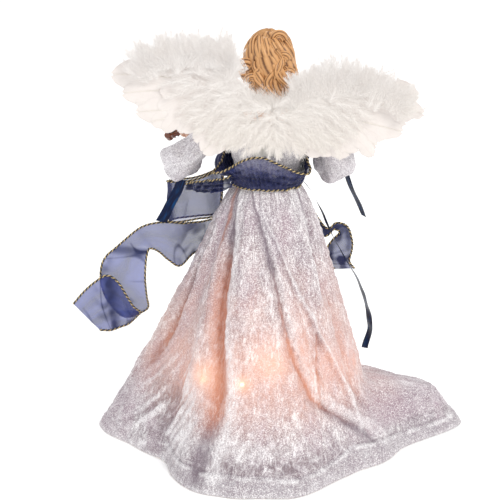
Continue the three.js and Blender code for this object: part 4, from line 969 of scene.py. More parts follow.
    # Painted mauve shade in the valleys and under the train's ridge, with mauve tone at random.
    mauve = (
        0.9 * line("left_smooth", 6.5)
        + 0.75 * bell(swing(292, degrees), 0, 9) * bell(t, 0.1, 0.07)
        + 1.0 * bell(swing(349, degrees), 0, 24) * smoothstep(t, 0.72, 0.84) * smoothstep(from_hem, 20, 34)
        + 0.6 * bell(swing(171, degrees), 0, 7) * smoothstep(t, 0.86, 0.96)
        + 0.5 * smoothstep(ripple(p * [1, 1, 0.6], 34, 7), 0.35, 1.0)
    )
    # Bruises at random above the hem and a darker band over its seam, then painted shade in the troughs of
    # the crumpled patch.
    bruise = np.clip(0.35 + ripple(p, 17, 5) + 0.4 * ripple(p, 7, 8), 0, 1) * bell(from_hem, seam_at + 17, 13)
    bruise = np.clip(
        bruise + 0.95 * bell(from_hem, seam_at + 7, 5) * np.clip(0.8 + 0.8 * ripple(p, 14, 11), 0, 1),
        0, 1,
    )
    bruise = bruise * np.clip(bell(swing(264, degrees), 0, 34) * 1.3 + 0.12, 0, 1)
    bruise += 2.2 * np.clip(-ripple(slant, 6, 9, 8), 0, 1) * crumpled
    uv = np.stack([degrees / 360 * 0.55, share * 0.32], -1)
    # More painted highlight on the crests of the crumpled patch.
    silver = silver + 1.1 * crumpled * smoothstep(ripple(slant, 6, 9, 8), -0.1, 0.5)
    obj = mesh(
        "skirt_cloth", p, grid_faces(rows, columns, True)[:, ::-1], uv,
        glow=glow, crease=np.clip(crease, 0, 1), hem=band, bruise=np.clip(bruise, 0, 1),
        warm=warm, silver=np.clip(silver, 0, 1), mauve=np.clip(mauve, 0, 1),
    )
    piece(obj, skirt_velvet, "figure", ["skirt"])
    return obj


make_skirt()

# Wings

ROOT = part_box("wing_bracket")[1].z / MM
HINGE = 8.0
BEHIND = 32.54
SPAN = 130.0


def on_wing(sign, out, up, level):
    """Points on a wing: out and up from its hinge in shares of the span, level towards the back in mm."""
    out, up, level = np.broadcast_arrays(np.asarray(out, float) * SPAN, np.asarray(up, float) * SPAN, level)
    return np.stack([sign * (HINGE + out), -BEHIND - 0.12 * out - level, ROOT + up], -1)


def vanes(sign, rows, seed, along=16, across=9, droop=0.05, split=0.35):
    """Many feathers: root out and up, tip out and up, half width (shares of the span), level, cup in mm."""
    r = np.random.default_rng(seed)
    rows = np.asarray(rows, float)
    n = len(rows)
    s = np.linspace(0, 1, along)
    c = np.linspace(-1, 1, across)
    shape = np.interp(s, [0, 0.06, 0.2, 0.45, 0.7, 0.86, 0.95, 1], [0.12, 0.4, 0.78, 1, 0.97, 0.8, 0.5, 0.1])
    root, tip, half, level, cup = rows[:, None, 0:2], rows[:, None, 2:4], rows[:, 4], rows[:, 5], rows[:, 6]
    way = tip - root
    long = np.linalg.norm(way, axis=2)[..., None]
    ahead = way / long
    aside = np.concatenate([-ahead[..., 1:], ahead[..., :1]], -1)
    bend = r.normal(0, 0.02, (n, 1, 1)) + droop
    middle = root + way * s[None, :, None] + aside * (4 * bend * long * (s * (1 - s))[None, :, None])
    edge = 1 + 0.04 * np.sin(s[None, :, None] * r.uniform(20, 40, (n, 1, 1)) + r.uniform(0, 6, (n, 1, 1)))
    notch = np.ones((n, along, across))
    for side in (-1, 1):
        at = r.uniform(0.55, 0.9, (n, 1, 1))
        deep = r.uniform(0, split, (n, 1, 1))
        cut = 1 - deep * np.exp(-((s[None, :, None] - at) / 0.035) ** 2)
        notch = np.where(np.sign(c)[None, None] == side, cut * notch, notch)
    lie = half[:, None, None] * shape[None, :, None] * edge * notch * c[None, None]
    sweep = 0.25 * half[:, None, None] * (np.abs(c) ** 1.5)[None, None] * (1 - s[None, :, None] * 0.3)
    flat = (
        middle[:, :, None] + aside[:, :, None] * lie[..., None]
        + ahead[:, :, None] * (sweep - 0.2 * half[:, None, None])[..., None]
    )
    lift = level[:, None, None] + cup[:, None, None] * (1 - c[None, None] ** 2) * shape[None, :, None]
    lift = lift + 1.1 * np.sin(s * 3.1)[None, :, None] * r.uniform(0.2, 1, (n, 1, 1))
    p = on_wing(sign, flat[..., 0], flat[..., 1], lift)
    u = np.broadcast_to((c / 2 + 0.5)[None, None], lie.shape)
    v = np.broadcast_to(s[None, :, None] * long * SPAN * MM, lie.shape)
    faces = many(grid_faces(along, across), n, along * across)
    shafts = on_wing(sign, middle[..., 0], middle[..., 1], lift[:, :, across // 2] + 0.25)
    return p.reshape(-1, 3), faces, np.stack([u, v], -1).reshape(-1, 2), shafts


WINGS = {
    "left": dict(
        sign=-1,
        flight=[
            (0.28, 0.32, 0.99, 0.43, 0.12), (0.26, 0.24, 0.92, 0.3, 0.105), (0.23, 0.17, 0.83, 0.17, 0.1),
            (0.2, 0.12, 0.73, 0.1, 0.095), (0.17, 0.1, 0.55, 0.06, 0.085), (0.12, 0.06, 0.39, -0.12, 0.095),
        ],
        top=[(-0.1, 0.24), (0.02, 0.38), (0.12, 0.5), (0.3, 0.56), (0.5, 0.58), (0.7, 0.55), (0.85, 0.49)],
        low=[(0.0, -0.03), (0.15, -0.02), (0.3, 0.02), (0.45, 0.07), (0.6, 0.15), (0.72, 0.25), (0.8, 0.36)],
        crest=[(0.2, 0.5), (0.21, 0.58), (0.34, 0.605), (0.5, 0.61), (0.66, 0.595), (0.78, 0.55)],
        lean=(-52, 30),
    ),
    "right": dict(
        sign=1,
        flight=[
            (0.28, 0.3, 0.95, 0.28, 0.115), (0.27, 0.22, 0.99, 0.16, 0.105), (0.24, 0.14, 0.85, 0.03, 0.1),
            (0.2, 0.07, 0.68, -0.07, 0.095), (0.15, 0.02, 0.5, -0.13, 0.09), (0.1, 0.03, 0.31, -0.14, 0.085),
        ],
        top=[
            (-0.1, 0.16), (0.02, 0.28), (0.12, 0.36), (0.32, 0.42), (0.54, 0.43), (0.76, 0.37), (0.86, 0.28)
        ],
        low=[
            (0.0, -0.03), (0.15, -0.03), (0.3, -0.03), (0.46, -0.01), (0.6, 0.04), (0.74, 0.12), (0.84, 0.19)
        ],
        crest=[(0.12, 0.3), (0.18, 0.38), (0.34, 0.43), (0.52, 0.43), (0.7, 0.38), (0.84, 0.29)],
        lean=(-60, 14),
    ),
}


def covert_rows(wing, seed):
    """Short feathers in overlapping rows over a wing, from the tips in towards the root."""
    r = np.random.default_rng(seed)
    top, low = spline(wing["top"], 60), spline(wing["low"], 60)
    rows = []
    for j, along in enumerate(np.linspace(0.66, 0.06, 8)):
        for share in np.linspace(0.12, 0.86, 8):
            at = min(59, int(along * 59))
            x, y = low[at] * (1 - share) + top[at] * share
            x, y = x + r.normal(0, 0.02), y + r.normal(0, 0.02)
            if x - 0.12 < 0.04 or (x - 0.12 < 0.1 and y > 0.08):
                continue
            angle = math.radians(
                wing["lean"][0] + (wing["lean"][1] - wing["lean"][0]) * share + r.normal(0, 6)
            )
            long = r.uniform(0.17, 0.29) * (0.75 + 0.4 * along)
            rows.append((x - 0.12, y, x - 0.12 + long * math.cos(angle), y + long * math.sin(angle),
                         r.uniform(0.045, 0.06), 5.2 + j * 0.8 + r.uniform(0, 0.4), 1.4))
    return rows


def plumes(base, heading, length, half, sign, seed, barbs=40, steps=6, width=0.34, wild=1.0, lift=3.0):
    """Soft feathers made of single barbs; heading in degrees from straight out, towards up."""
    r = np.random.default_rng(seed)
    n = len(base)
    h = np.radians(np.broadcast_to(heading, n))[:, None]
    out = unit(np.array([sign, -0.12, 0.0]) * np.ones((n, 3)))
    ahead = np.cos(h) * out + np.sin(h) * [0, 0, 1.0]
    aside = -np.sin(h) * out + np.cos(h) * [0, 0, 1.0]
    length, half = np.broadcast_to(length, n), np.broadcast_to(half, n)
    s = np.linspace(0.03, 1, barbs)
    bend = r.normal(0, 0.16, (n, 1, 1))
    shaft = (
        base[:, None]
        + (length[:, None] * s)[..., None] * ahead[:, None]
        + bend * (length[:, None] * s**2)[..., None] * aside[:, None]
        + (lift * np.sin(np.pi * 0.75 * s) * r.uniform(0.5, 1.2, (n, 1)))[..., None] * np.array([0, -1.0, 0])
    )
    shape = np.interp(s, [0, 0.15, 0.5, 0.8, 1], [0.75, 1, 0.95, 0.7, 0.42])
    u = np.linspace(0, 1, steps)
    lines = []
    for side in (-1, 1):
        long = half[:, None] * shape * r.uniform(0.7, 1.25, (n, barbs))
        open_angle = np.radians(64 - 42 * s)[None] * r.uniform(0.85, 1.15, (n, barbs))
        curl = r.uniform(0.3, 0.75, (n, barbs))
        theta = open_angle[..., None] * (1 - curl[..., None] * u)
        step = long[..., None] / (steps - 1)
        go = np.concatenate([np.zeros((n, barbs, 1)), np.cumsum(np.cos(theta[..., 1:]) * step, 2)], 2)
        across = np.concatenate([np.zeros((n, barbs, 1)), np.cumsum(np.sin(theta[..., 1:]) * step, 2)], 2)
        stray = (
            wild * r.normal(0, 1, (n, barbs, 1, 3)) * (u**1.6)[None, None, :, None]
            * (1.6 - s)[None, :, None, None]
        )
        wave = (
            0.3 * wild * np.sin(u * 7 + r.uniform(0, 6.3, (n, barbs, 1)))[..., None] * u[None, None, :, None]
            * [0.3, -1, 0.3]
        )
        lines.append(
            shaft[:, :, None] + go[..., None] * ahead[:, None, None]
            + side * across[..., None] * aside[:, None, None]
            + stray + wave - (u**1.2 * 1.2)[None, None, :, None] * np.array([0, -0.4, 0])
        )
    p = np.concatenate(lines, 1).reshape(-1, steps, 3)
    facing = unit(r.normal(0, 0.5, (len(p), 3)) + [0, -1, 0])
    return strands(p, width * (1 - 0.65 * u)[None], facing)


def fluff(roots, heading, length, seed, width=0.42, curl=0.5, steps=7, spread=0.45, depth=0.4):
    """Single down hairs from roots; depth is how far they stand out from the wing."""
    r = np.random.default_rng(seed)
    n = len(roots)
    clump = np.stack([ripple(roots, 14, seed + i) for i in range(3)], 1)
    way = unit(
        heading + clump * spread + r.normal(0, spread * 0.55, (n, 3))
        + np.array([0, -depth, 0]) * r.uniform(0, 1, (n, 1))
    )
    far = length * r.uniform(0.55, 1.15, n)[:, None]
    bend = unit(r.normal(size=(n, 3)) + 0.8 * clump) * curl
    s = np.linspace(0, 1, steps)[None, :, None]
    points = roots[:, None] + far[..., None] * (way[:, None] * s + bend[:, None] * s**2 * 0.5)
    points = points + 0.5 * np.sin(s * 9 + r.uniform(0, 6, (n, 1, 1))) * s * unit(r.normal(size=(n, 1, 3)))
    return strands(points, width * (1 - 0.8 * s[..., 0]), unit(r.normal(size=(n, 3)) + [0, -1.5, 0]))


def body_plumes(wing, seed, columns, rows, reach):
    """Rows of down plumes over a wing, thinning out towards the tips."""
    r = np.random.default_rng(seed)
    top, low = spline(wing["top"], 60), spline(wing["low"], 60)
    base, heading, length, half = [], [], [], []
    for along in np.linspace(reach, 0.0, columns):
        for share in np.linspace(0.03, 0.9, rows):
            if along > 0.4 and r.uniform() < (along - 0.4) * 2.6 * (1.4 - share):
                continue
            at = min(59, int(along * 59))
            x, y = low[at] * (1 - share) + top[at] * share + r.normal(0, 0.015, 2)
            if x - 0.1 < 0.06:
                continue
            angle = wing["lean"][0] + (wing["lean"][1] - wing["lean"][0]) * share + r.normal(0, 13)
            base.append(
                on_wing(
                    wing["sign"], x - 0.1, y + 0.02,
                    10 + 4.5 * (1 - along) * bell(share, 0.5, 0.5) + r.uniform(-1, 1)
                )
            )
            heading.append(angle)
            length.append(r.uniform(16, 23))
            half.append(r.uniform(7, 10))
    return np.array(base), np.array(heading), np.array(length), np.array(half)


def make_wing(side):
    wing = WINGS[side]
    sign = wing["sign"]
    seed = 20 if side == "left" else 60
    body = f"{side}_wing"
    for i, row in enumerate(wing["flight"]):
        rows = [(*row, 1.7 + i * 1.15, 0.9)]
        p, faces, uv, shafts = vanes(sign, rows, seed + i, 44, 15, 0.05, 0.3)
        obj = mesh(f"{side}_flight_{i + 1}", p, faces, uv)
        piece(obj, white_feather, body, [f"{side}_flight_feather_{i + 1}"])
        v, f, _ = tubes(shafts, np.linspace(0.5, 0.14, shafts.shape[1])[None], 6)
        piece(mesh(f"{side}_flight_shaft_{i + 1}", v, f), shaft_paint, body)
    between = [np.add(a, b) / 2 for a, b in zip(wing["flight"], wing["flight"][1:])]
    rows = [(*(row * [1, 1, 0.95, 1, 0.8]), 2.3 + i * 1.15, 0.8) for i, row in enumerate(between)]
    p, faces, uv, _ = vanes(sign, rows, seed + 9, 40, 13, 0.05, 0.45)
    piece(mesh(f"{side}_second_flight", p, faces, uv), white_feather, body)
    p, faces, uv, _ = vanes(sign, covert_rows(wing, seed + 10), seed + 11, 14, 9, 0.03, 0.3)
    obj = mesh(f"{side}_coverts", p, faces, uv)
    piece(obj, white_feather, body, [f"{side}_covert_pad"])
    base, heading, length, half = body_plumes(wing, seed + 15, 15, 14, 0.72)
    v, f = plumes(base, heading, length, half, sign, seed + 16, 44, 6, 0.28, 0.8, 1.5)
    piece(mesh(f"{side}_down", v, f), white_down, body)

    r = np.random.default_rng(seed + 12)
    top = spline(wing["crest"], 80)
    count = 150
    at = np.linspace(0, 79, count).astype(int)
    x, y = top[at].T
    base = on_wing(
        sign, x + r.normal(0, 0.015, count), y - r.uniform(0.02, 0.2, count), r.uniform(8, 15, count)
    )
    heading = np.interp(x, [0.12, 0.25, 0.6, 0.86], [96, 90, 80, 40]) + r.normal(0, 9, count)
    v, f = plumes(
        base, heading, r.uniform(13, 21, count), r.uniform(6, 9, count), sign, seed + 17, 46, 6, 0.26, 1.0,
        2.0
    )
    obj = piece(mesh(f"{side}_marabou_top", v, f), white_down, body, [f"{side}_marabou_trim"])

    count = 9000
    at = r.integers(0, 80, count)
    roots = on_wing(
        sign, top[at, 0] + r.normal(0, 0.012, count), top[at, 1] - 0.03 - 0.1 * r.uniform(0, 1, count),
        9 + 8 * r.uniform(0, 1, count),
    )
    lean = np.interp(top[at, 0], [0.1, 0.3, 0.6, 0.86], [-0.05, 0.0, 0.25, 0.9])
    way = unit(np.stack([sign * lean, np.full(count, -0.2), np.ones(count)], 1))
    v, f = fluff(roots, way, 14.0, seed + 13, 0.26, 0.4, 7, 0.35, 0.3)
    piece(mesh(f"{side}_marabou_wisps", v, f), white_down, body)


shaft_paint = moulded("quill", (0.90, 0.86, 0.78), 0.4)
for side in ("left", "right"):
    make_wing(side)


def make_back_fluff():
    """The marabou on the back between the wings, down to the sash; its outer down goes with the wings."""
    r = np.random.default_rng(90)
    for name, sign in (("left", -1), ("right", 1)):
        base, heading = [], []
        for z in np.linspace(318, 354, 10):
            for x in np.linspace(-2, 40, 10):
                top = 345 + 0.4 * x
                if z > top:
                    continue
                base.append(
                    (
                        3 + sign * x + r.normal(0, 2),
                        -BEHIND - 5 - 8 * (1 - (x / 60) ** 2) + r.normal(0, 1), z + r.normal(0, 2)
                    )
                )
                rise = smoothstep(z, 325, 347)
                heading.append(-75 + 45 * smoothstep(x, 0, 34) + 85 * rise + r.normal(0, 14))
        base = np.array(base)
        v, f = plumes(
            base, heading, r.uniform(13, 19, len(base)), r.uniform(6, 9, len(base)), sign, 91 + sign, 40, 6,
            0.34, 1.0
        )
        fluffs = [mesh(f"back_marabou_{name}", v, f)]
        count = 2000
        x = r.uniform(0, 36, count)
        z = 341 + 0.5 * x + r.uniform(-8, 6, count)
        roots = np.stack([3 + sign * x, -BEHIND - 8 + r.uniform(-3, 5, count), z], 1)
        way = unit(np.stack([sign * x / 30, np.full(count, -0.2), np.full(count, 0.9)], 1))
        v, f = fluff(roots, way, 13.0, 93 + sign, 0.26, 0.5, 6, 0.5, 0.2)
        fluffs.append(mesh(f"back_wisps_{name}", v, f))
        for obj in fluffs:
            piece(obj, white_down)
            start = put((3 + sign * 2, -40, 330))
            end = put((3 + sign * 24, -40, 330))
            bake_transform(obj)



make_back_fluff()

# Head

HEAD = np.array([1.0, 0.0, TORSO_TOP + 48])
TURN = math.radians(25)
SKULL = np.array([17.5, 19.0, 22.0])
HAIR = SKULL + [4.5, 4.5, 9.0]


def from_head(p):
    p = np.asarray(p, float)
    c, s = math.cos(TURN), math.sin(TURN)
    return np.stack([p[..., 0] * c - p[..., 1] * s, p[..., 0] * s + p[..., 1] * c, p[..., 2]], -1) + HEAD


def hair_point(azimuth, share, out):
    """A place on the hair: azimuth from the back of the head, share of the way from crown to tip."""
    side, back = np.sin(azimuth), np.cos(azimuth)
    polar = np.minimum(share / 0.48, 1) * np.pi / 2
    ball = np.stack([
        (HAIR[0] + out) * np.sin(polar) * side,
        -(HAIR[1] + out) * np.sin(polar) * back,
        (HAIR[2] + out) * np.cos(polar),
    ], -1)
    fall = np.maximum(0, (share - 0.48) / 0.52)
    narrow = 1.04 - 0.4 * fall**1.8
    drop = 42 * (0.5 + 0.5 * np.maximum(0, back)) * fall
    hang = np.stack([
        (HAIR[0] + out) * narrow * side,
        -(HAIR[1] + out) * narrow * back - HAIR[1] * 0.12 * fall,
        -drop,
    ], -1)
    return np.where((share < 0.48)[..., None], ball, hang)


def make_hair():
    r = np.random.default_rng(5)
    verts, faces, grooves, start = [], [], [], 0

    def add(v, f, g):
        nonlocal start
        verts.append(v)
        faces.append(f + start)
        grooves.append(g)
        start += len(v)

    def locks(p, radius, flat=0.72, twist=1.6, lobes=5, sides=40):
        v, f, g = tubes(p, radius, sides, 0.09, lobes, flat, twist)
        # The depth of each groove becomes painted shade.
        add(v, f, g**2.2)

    s = np.linspace(0, 1, 110)
    for ring, (count, radius, out, wave, spread) in enumerate(
        [(13, 5.6, -3.4, 0.16, 1.95), (11, 4.6, -1.6, 0.24, 1.8), (8, 3.4, 0.6, 0.3, 1.5)]
    ):
        spreads = np.linspace(-spread, spread, count) + r.normal(0, 0.05, count)
        phase = r.uniform(0, 6.3, (count, 1)) * 0.35 + 1.5 * ring
        begin = r.uniform(0.02, 0.1, (count, 1)) + 0.07 * ring
        reach = r.uniform(0.86, 1.0, (count, 1)) - 0.04 * ring
        share = begin + (reach - begin) * s
        azimuth = spreads[:, None] + wave * np.sin(phase + 12.5 * share) * np.minimum(1, share * 2)
        lift = out + 1.8 * np.sin(phase + 1.2 + 14 * share)
        p = from_head(hair_point(azimuth, share, lift))
        taper = radius * (0.5 + 0.5 * np.sin(np.pi * np.clip(s * 0.86 + 0.1, 0, 1)) ** 0.7)
        taper = taper * (1 - 0.8 * smoothstep(s, 0.88, 1.0))
        locks(p, np.broadcast_to(taper, (count, 110)))
    turn = np.linspace(0, 1, 90)
    for centre, size, thick, turns, tilt in (
        ((-20.5, -13.0, 370.5), 7.6, 4.2, 1.8, 0.5), ((-15.0, -21.0, 361.0), 5.8, 3.4, 1.5, 0.3),
        ((17.0, -17.0, 366.0), 5.6, 3.2, 1.5, 0.3), ((9.0, -10.0, 397.0), 6.4, 3.2, 1.5, 0.9),
        ((13.0, -19.0, 381.0), 5.4, 3.0, 1.3, 0.2),
    ):
        a = 2 * np.pi * turns * turn
        coil = size * (1 - 0.75 * turn)
        line = (
            np.stack([coil * np.cos(a), -2.5 * turn - tilt * coil * np.sin(a) * 0.3, coil * np.sin(a)], -1)
            + centre
        )
        locks(line[None], thick * (1 - 0.55 * turn)[None], 0.85, 2.0)
    for k, (side, phase) in enumerate(((1, 0.0), (1, 1.4), (-1, 2.6), (1, 3.3), (-1, 0.8))):
        z = np.linspace(390 - 5 * k, 344 - 2 * k, 110)
        x = 3 + side * (4 + 3.4 * k * 0.8) + 4.2 * np.sin((390 - z) * 0.16 + phase) + side * (390 - z) * 0.07
        y = (
            -np.sqrt(np.maximum(25.0**2 - (x - 2) ** 2 * 1.1, 60)) * (0.93 + 0.05 * np.cos((z - 372) * 0.09))
            + 1.2 * np.sin(z * 0.3 + phase)
        )
        taper = 3.4 * (0.45 + 0.55 * np.sin(np.pi * (0.1 + 0.85 * s))) * (1 - 0.7 * smoothstep(s, 0.86, 1))
        locks(np.stack([x, y, z], -1)[None], taper[None], 0.7, 2.4)
    rows, columns = 60, 120
    share = np.linspace(0.0, 0.97, rows)[:, None] * np.ones((1, columns))
    azimuth = np.linspace(-1, 1, columns)[None] * np.interp(share, [0, 0.2, 0.3], [np.pi, np.pi, 1.98])
    strand = 0.5 * np.sin(azimuth * 40 + 3 * np.sin(share * 14))
    front = smoothstep(-np.cos(azimuth), -0.1, 0.45)
    parting = 5.2 * front * smoothstep(share, 0.0, 0.05) * (1 - smoothstep(share, 0.2, 0.34))
    p = from_head(hair_point(azimuth, share, -3.4 + strand + parting))
    # The cap under the locks gets painted shade, darker lower down.
    add(
        p.reshape(-1, 3), grid_faces(rows, columns),
        np.interp(share, [0, 0.15, 0.35], [0.3, 0.4, 0.9]).ravel()
    )
    v = np.concatenate(verts)
    obj = mesh("moulded_hair", v, np.concatenate(faces), groove=np.concatenate(grooves))
    piece(obj, lock_paint, "figure")


def make_face():
    rows, columns = 170, 190
    polar = np.linspace(0.04, np.pi - 0.04, rows)[:, None] * np.ones((1, columns))
    azimuth = np.radians(np.linspace(-128, 128, columns))[None] * np.ones((rows, 1))
    x = np.sin(polar) * np.sin(azimuth)
    y = np.sin(polar) * np.cos(azimuth)
    z = np.cos(polar)
    jaw = smoothstep(-z, 0.0, 0.95)
    px = SKULL[0] * x * (1 - 0.3 * jaw)
    py = SKULL[1] * y * (1 - 0.12 * jaw) + 1.5 * jaw
    pz = SKULL[2] * z - 1.5 * jaw
    front = smoothstep(y, 0.05, 0.5)
    eye = 6.3
    bumps = (
        4.4 * bell(px, 0, 1.9) * bell(pz, -7.2, 3.2)
        + 2.3 * bell(px, 0, 1.5) * bell(pz, -2.5, 3.8)
        + 1.1 * (bell(px, 1.9, 1.1) + bell(px, -1.9, 1.1)) * bell(pz, -8.3, 1.4)
        + 0.7 * bell(pz, 5.2, 2.0) * bell(np.abs(px), 6, 5)
        - 2.0 * bell(np.abs(px), eye, 3.4) * bell(pz, 0.4, 2.6)
        + 1.7 * bell(np.abs(px), eye, 2.5) * bell(pz, 0.0, 1.8)
        + 1.0 * bell(np.abs(px), 8.5, 4.5) * bell(pz, -7, 4.5)
        + 1.1 * bell(px, 0, 3.4) * bell(pz, -12.3, 0.85)
        + 1.2 * bell(px, 0, 2.8) * bell(pz, -14.1, 0.95)
        - 0.6 * bell(px, 0, 4.2) * bell(pz, -13.2, 0.45)
        - 0.5 * bell(px, 0, 0.7) * bell(pz, -10.8, 1.0)
        - 0.5 * bell(px, 0, 3.0) * bell(pz, -16.2, 1.1)
        + 1.5 * bell(px, 0, 4.0) * bell(pz, -19.5, 2.6)
    )
    py = py + bumps * front
    lip = (
        np.clip(1.25 * bell(px, 0, 3.2) * (bell(pz, -12.3, 0.8) + bell(pz, -14.1, 0.85)) - 0.25, 0, 1)
        * front
    )
    arc = 0.0 - 1.0 + 0.09 * (np.abs(px) - eye) ** 2
    lash = bell(pz, arc, 0.32) * (np.abs(np.abs(px) - eye) < 2.9) * front
    brow_line = 4.9 - 0.05 * (np.abs(px) - 5.2) ** 2
    brow = 0.75 * bell(pz, brow_line, 0.5) * smoothstep(-np.abs(np.abs(px) - 6), -3.9, -2.6) * front
    blush = bell(np.abs(px), 9.5, 3.4) * bell(pz, -6.5, 3.4) * front
    p = from_head(np.stack([px, py, pz], -1))
    obj = mesh("calm_face", p, grid_faces(rows, columns)[:, ::-1], lip=lip, lash=lash, brow=brow, blush=blush)
    piece(obj, face_paint, "figure")


def make_bust():
    """Neck and bust plate in one smooth skin."""
    table = [
        (TORSO_TOP + 0.3, 25.0, 15.6), (TORSO_TOP + 2.5, 25.0, 15.6), (TORSO_TOP + 6, 23.8, 15.2),
        (TORSO_TOP + 10.5, 18.5, 13.6), (TORSO_TOP + 14, 12.0, 11.2), (TORSO_TOP + 18, 9.0, 9.4),
        (TORSO_TOP + 26, 8.4, 8.6), (TORSO_TOP + 36, 8.6, 8.8), (TORSO_TOP + 42, 9.5, 9.5),
    ]
    p = spline(table, 70)
    a = np.arange(96) * 2 * np.pi / 96
    z = p[:, :1] * np.ones((1, 96))
    bones = (
        0.7 * bell(z, TORSO_TOP + 9.5, 2.2) * bell(np.abs(np.cos(a))[None], 0.55, 0.35)
        * (np.sin(a) > 0)[None]
    )
    v = np.stack([(p[:, 1:2] + bones) * np.cos(a), (p[:, 2:3] + bones) * np.sin(a), z], -1)
    none = np.zeros(v.shape[:2])
    obj = mesh("bust_and_neck", v, grid_faces(70, 96, True), lip=none, lash=none, brow=none, blush=none)
    piece(obj, face_paint, "figure")
    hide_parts("head_casting")


make_hair()
make_face()
make_bust()

# Torso and bodice


def make_torso():
    rows, columns = 60, 120
    z = np.linspace(TORSO_FOOT, TORSO_TOP, rows)
    wide, deep = torso_radii(z)
    a = np.arange(columns) * 2 * np.pi / columns
    soft = smoothstep(z, TORSO_FOOT, TORSO_FOOT + 4) * (1 - 0.9 * smoothstep(z, TORSO_TOP - 3, TORSO_TOP))
    close = 0.86 + 0.14 * soft[:, None]
    seam = 1 - 0.012 * bell(np.cos(2 * a), -1, 0.02)[None]
    p = np.stack(
        [
            wide[:, None] * close * seam * np.cos(a), deep[:, None] * close * seam * np.sin(a),
            z[:, None] * np.ones((1, columns))
        ],
        -1
    )
    p = p + 0.25 * unit(p * [1, 1, 0]) * ripple(p, 9, 31)[..., None]
    obj = mesh("stuffed_torso", p, grid_faces(rows, columns, True))
    piece(
        obj, plain_cloth("calico", (0.84, 0.80, 0.72), (0.70, 0.65, 0.56)), "figure",
        ["torso_form"]
    )


def make_bodice():
    rows, columns = 90, 260
    z = np.linspace(TORSO_FOOT + TORSO_HEIGHT * 0.16, TORSO_FOOT + TORSO_HEIGHT * 0.96, rows)
    wide, deep = torso_radii(z)
    a = np.arange(columns) * 2 * np.pi / columns
    out = 1.5 + 0.35 * np.sin(40 * a)[None] * np.exp(-(z - z[0]) / 8)[:, None]
    out = out - 0.5 * bell(np.mod(a * 180 / np.pi, 60), 30, 1.2)[None] * smoothstep(z, 262, 275)[:, None]
    p = np.stack(
        [
            (wide[:, None] + out) * np.cos(a), (deep[:, None] + out) * np.sin(a),
            z[:, None] * np.ones((1, columns))
        ],
        -1
    )
    p = p + 0.3 * unit(p * [1, 1, 0]) * ripple(p, 8, 33)[..., None]
    uv = np.stack(np.broadcast_arrays(a[None] / 6.3 * 0.17, z[:, None] * MM), -1)
    obj = mesh("sewn_bodice", p, grid_faces(rows, columns, True), uv)
    piece(obj, sewn_velvet, "figure", ["bodice"])


make_torso()
make_bodice()

# Sleeves

SHOULDER = TORSO_TOP - 12
SHOULDER_OUT = float(torso_radii(SHOULDER - 1.3)[0]) + 2.2
ARMS = {
    "left": (-1, [(0, 0, 0), (-0.8, 0, 0), (-1.6, -0.4, -0.8), (-1.6, 0.55, -1.18)]),
    "right": (1, [(0, 0, 0), (0.8, 0, 0), (1.33, -0.15, -1.09), (0.9, 0.85, -1.37)]),
}


def arm_curve(side):
    sign, table = ARMS[side]
    c = np.array(table, float) * 28 + [sign * SHOULDER_OUT, 0, SHOULDER]
    t = np.linspace(0, 1, 400)[:, None]
    line = (1 - t) ** 3 * c[0] + 3 * (1 - t) ** 2 * t * c[1] + 3 * (1 - t) * t**2 * c[2] + t**3 * c[3]
    return even(line, 400)


def make_sleeve(side):
    line = arm_curve(side)
    length = float(np.linalg.norm(np.diff(line, axis=0), axis=1).sum())
    rows, columns = 110, 200
    profile = [(3 / length, 8.6), (0.12, 10.6), (0.3, 12.6), (0.6, 14.6), (0.85, 18), (1, 18.6)]
    s = np.linspace(3 / length, 1, rows)
    radius = np.interp(s, [q[0] for q in profile], [q[1] for q in profile])
    at = np.clip((s * 399).astype(int), 0, 399)
    centre = line[at]
    along = unit(np.gradient(line, axis=0))[at]
    across = unit(np.cross([0, 0, 1], along))
    up = unit(np.cross(along, across))
    a = np.arange(columns) * 2 * np.pi / columns
    seed = 41 if side == "left" else 47
    fold = (
        1 + 0.07 * s[:, None] * np.sin(4 * a)[None]
        + 0.03 * np.sin(22 * a + 2)[None] * np.exp(-s * 9)[:, None]
    )
    r = radius[:, None] * fold
    p = (
        centre[:, None] + (r * np.cos(a))[..., None] * across[:, None]
        + (r * np.sin(a))[..., None] * up[:, None]
    )
    n = unit(p - centre[:, None])
    p = p + n * (0.9 * ripple(p, 17, seed) + 0.35 * ripple(p, 7, seed + 1) - 0.7)[..., None]
    mouth = s[:, None] * np.ones((1, columns))
    p = p + n * (0.6 * bell(mouth, 0.93, 0.012) * -1.0)[..., None]
    if side == "left":
        p[..., 2] -= 5 * bell(p[..., 0], -74, 13) * smoothstep(p[..., 2], 280, 298)
    first, last = p[:1] * 0.25 + centre[0] * 0.75, p[-1:] - n[-1:] * 1.2 - along[-1] * 2.5
    p = np.concatenate([first, p, last])
    uv = np.stack(
        np.broadcast_arrays(a[None] / 6.3 * 0.11, (np.linspace(0, 1, rows + 2) * length * MM)[:, None]), -1
    )
    flip = -1 if side == "left" else 1
    obj = mesh(f"{side}_sleeve_cloth", p, grid_faces(rows + 2, columns, True)[:, ::flip], uv)
    piece(obj, sewn_velvet, None, [f"{side}_sleeve"])
    start, end = put(line[int(400 * 0.06)]), put(line[int(400 * 0.4)])
    tuple(start)
    tuple(end)
    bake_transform(obj)


for side in ("left", "right"):
    make_sleeve(side)

# Sash, bow, tails and satin ribbons


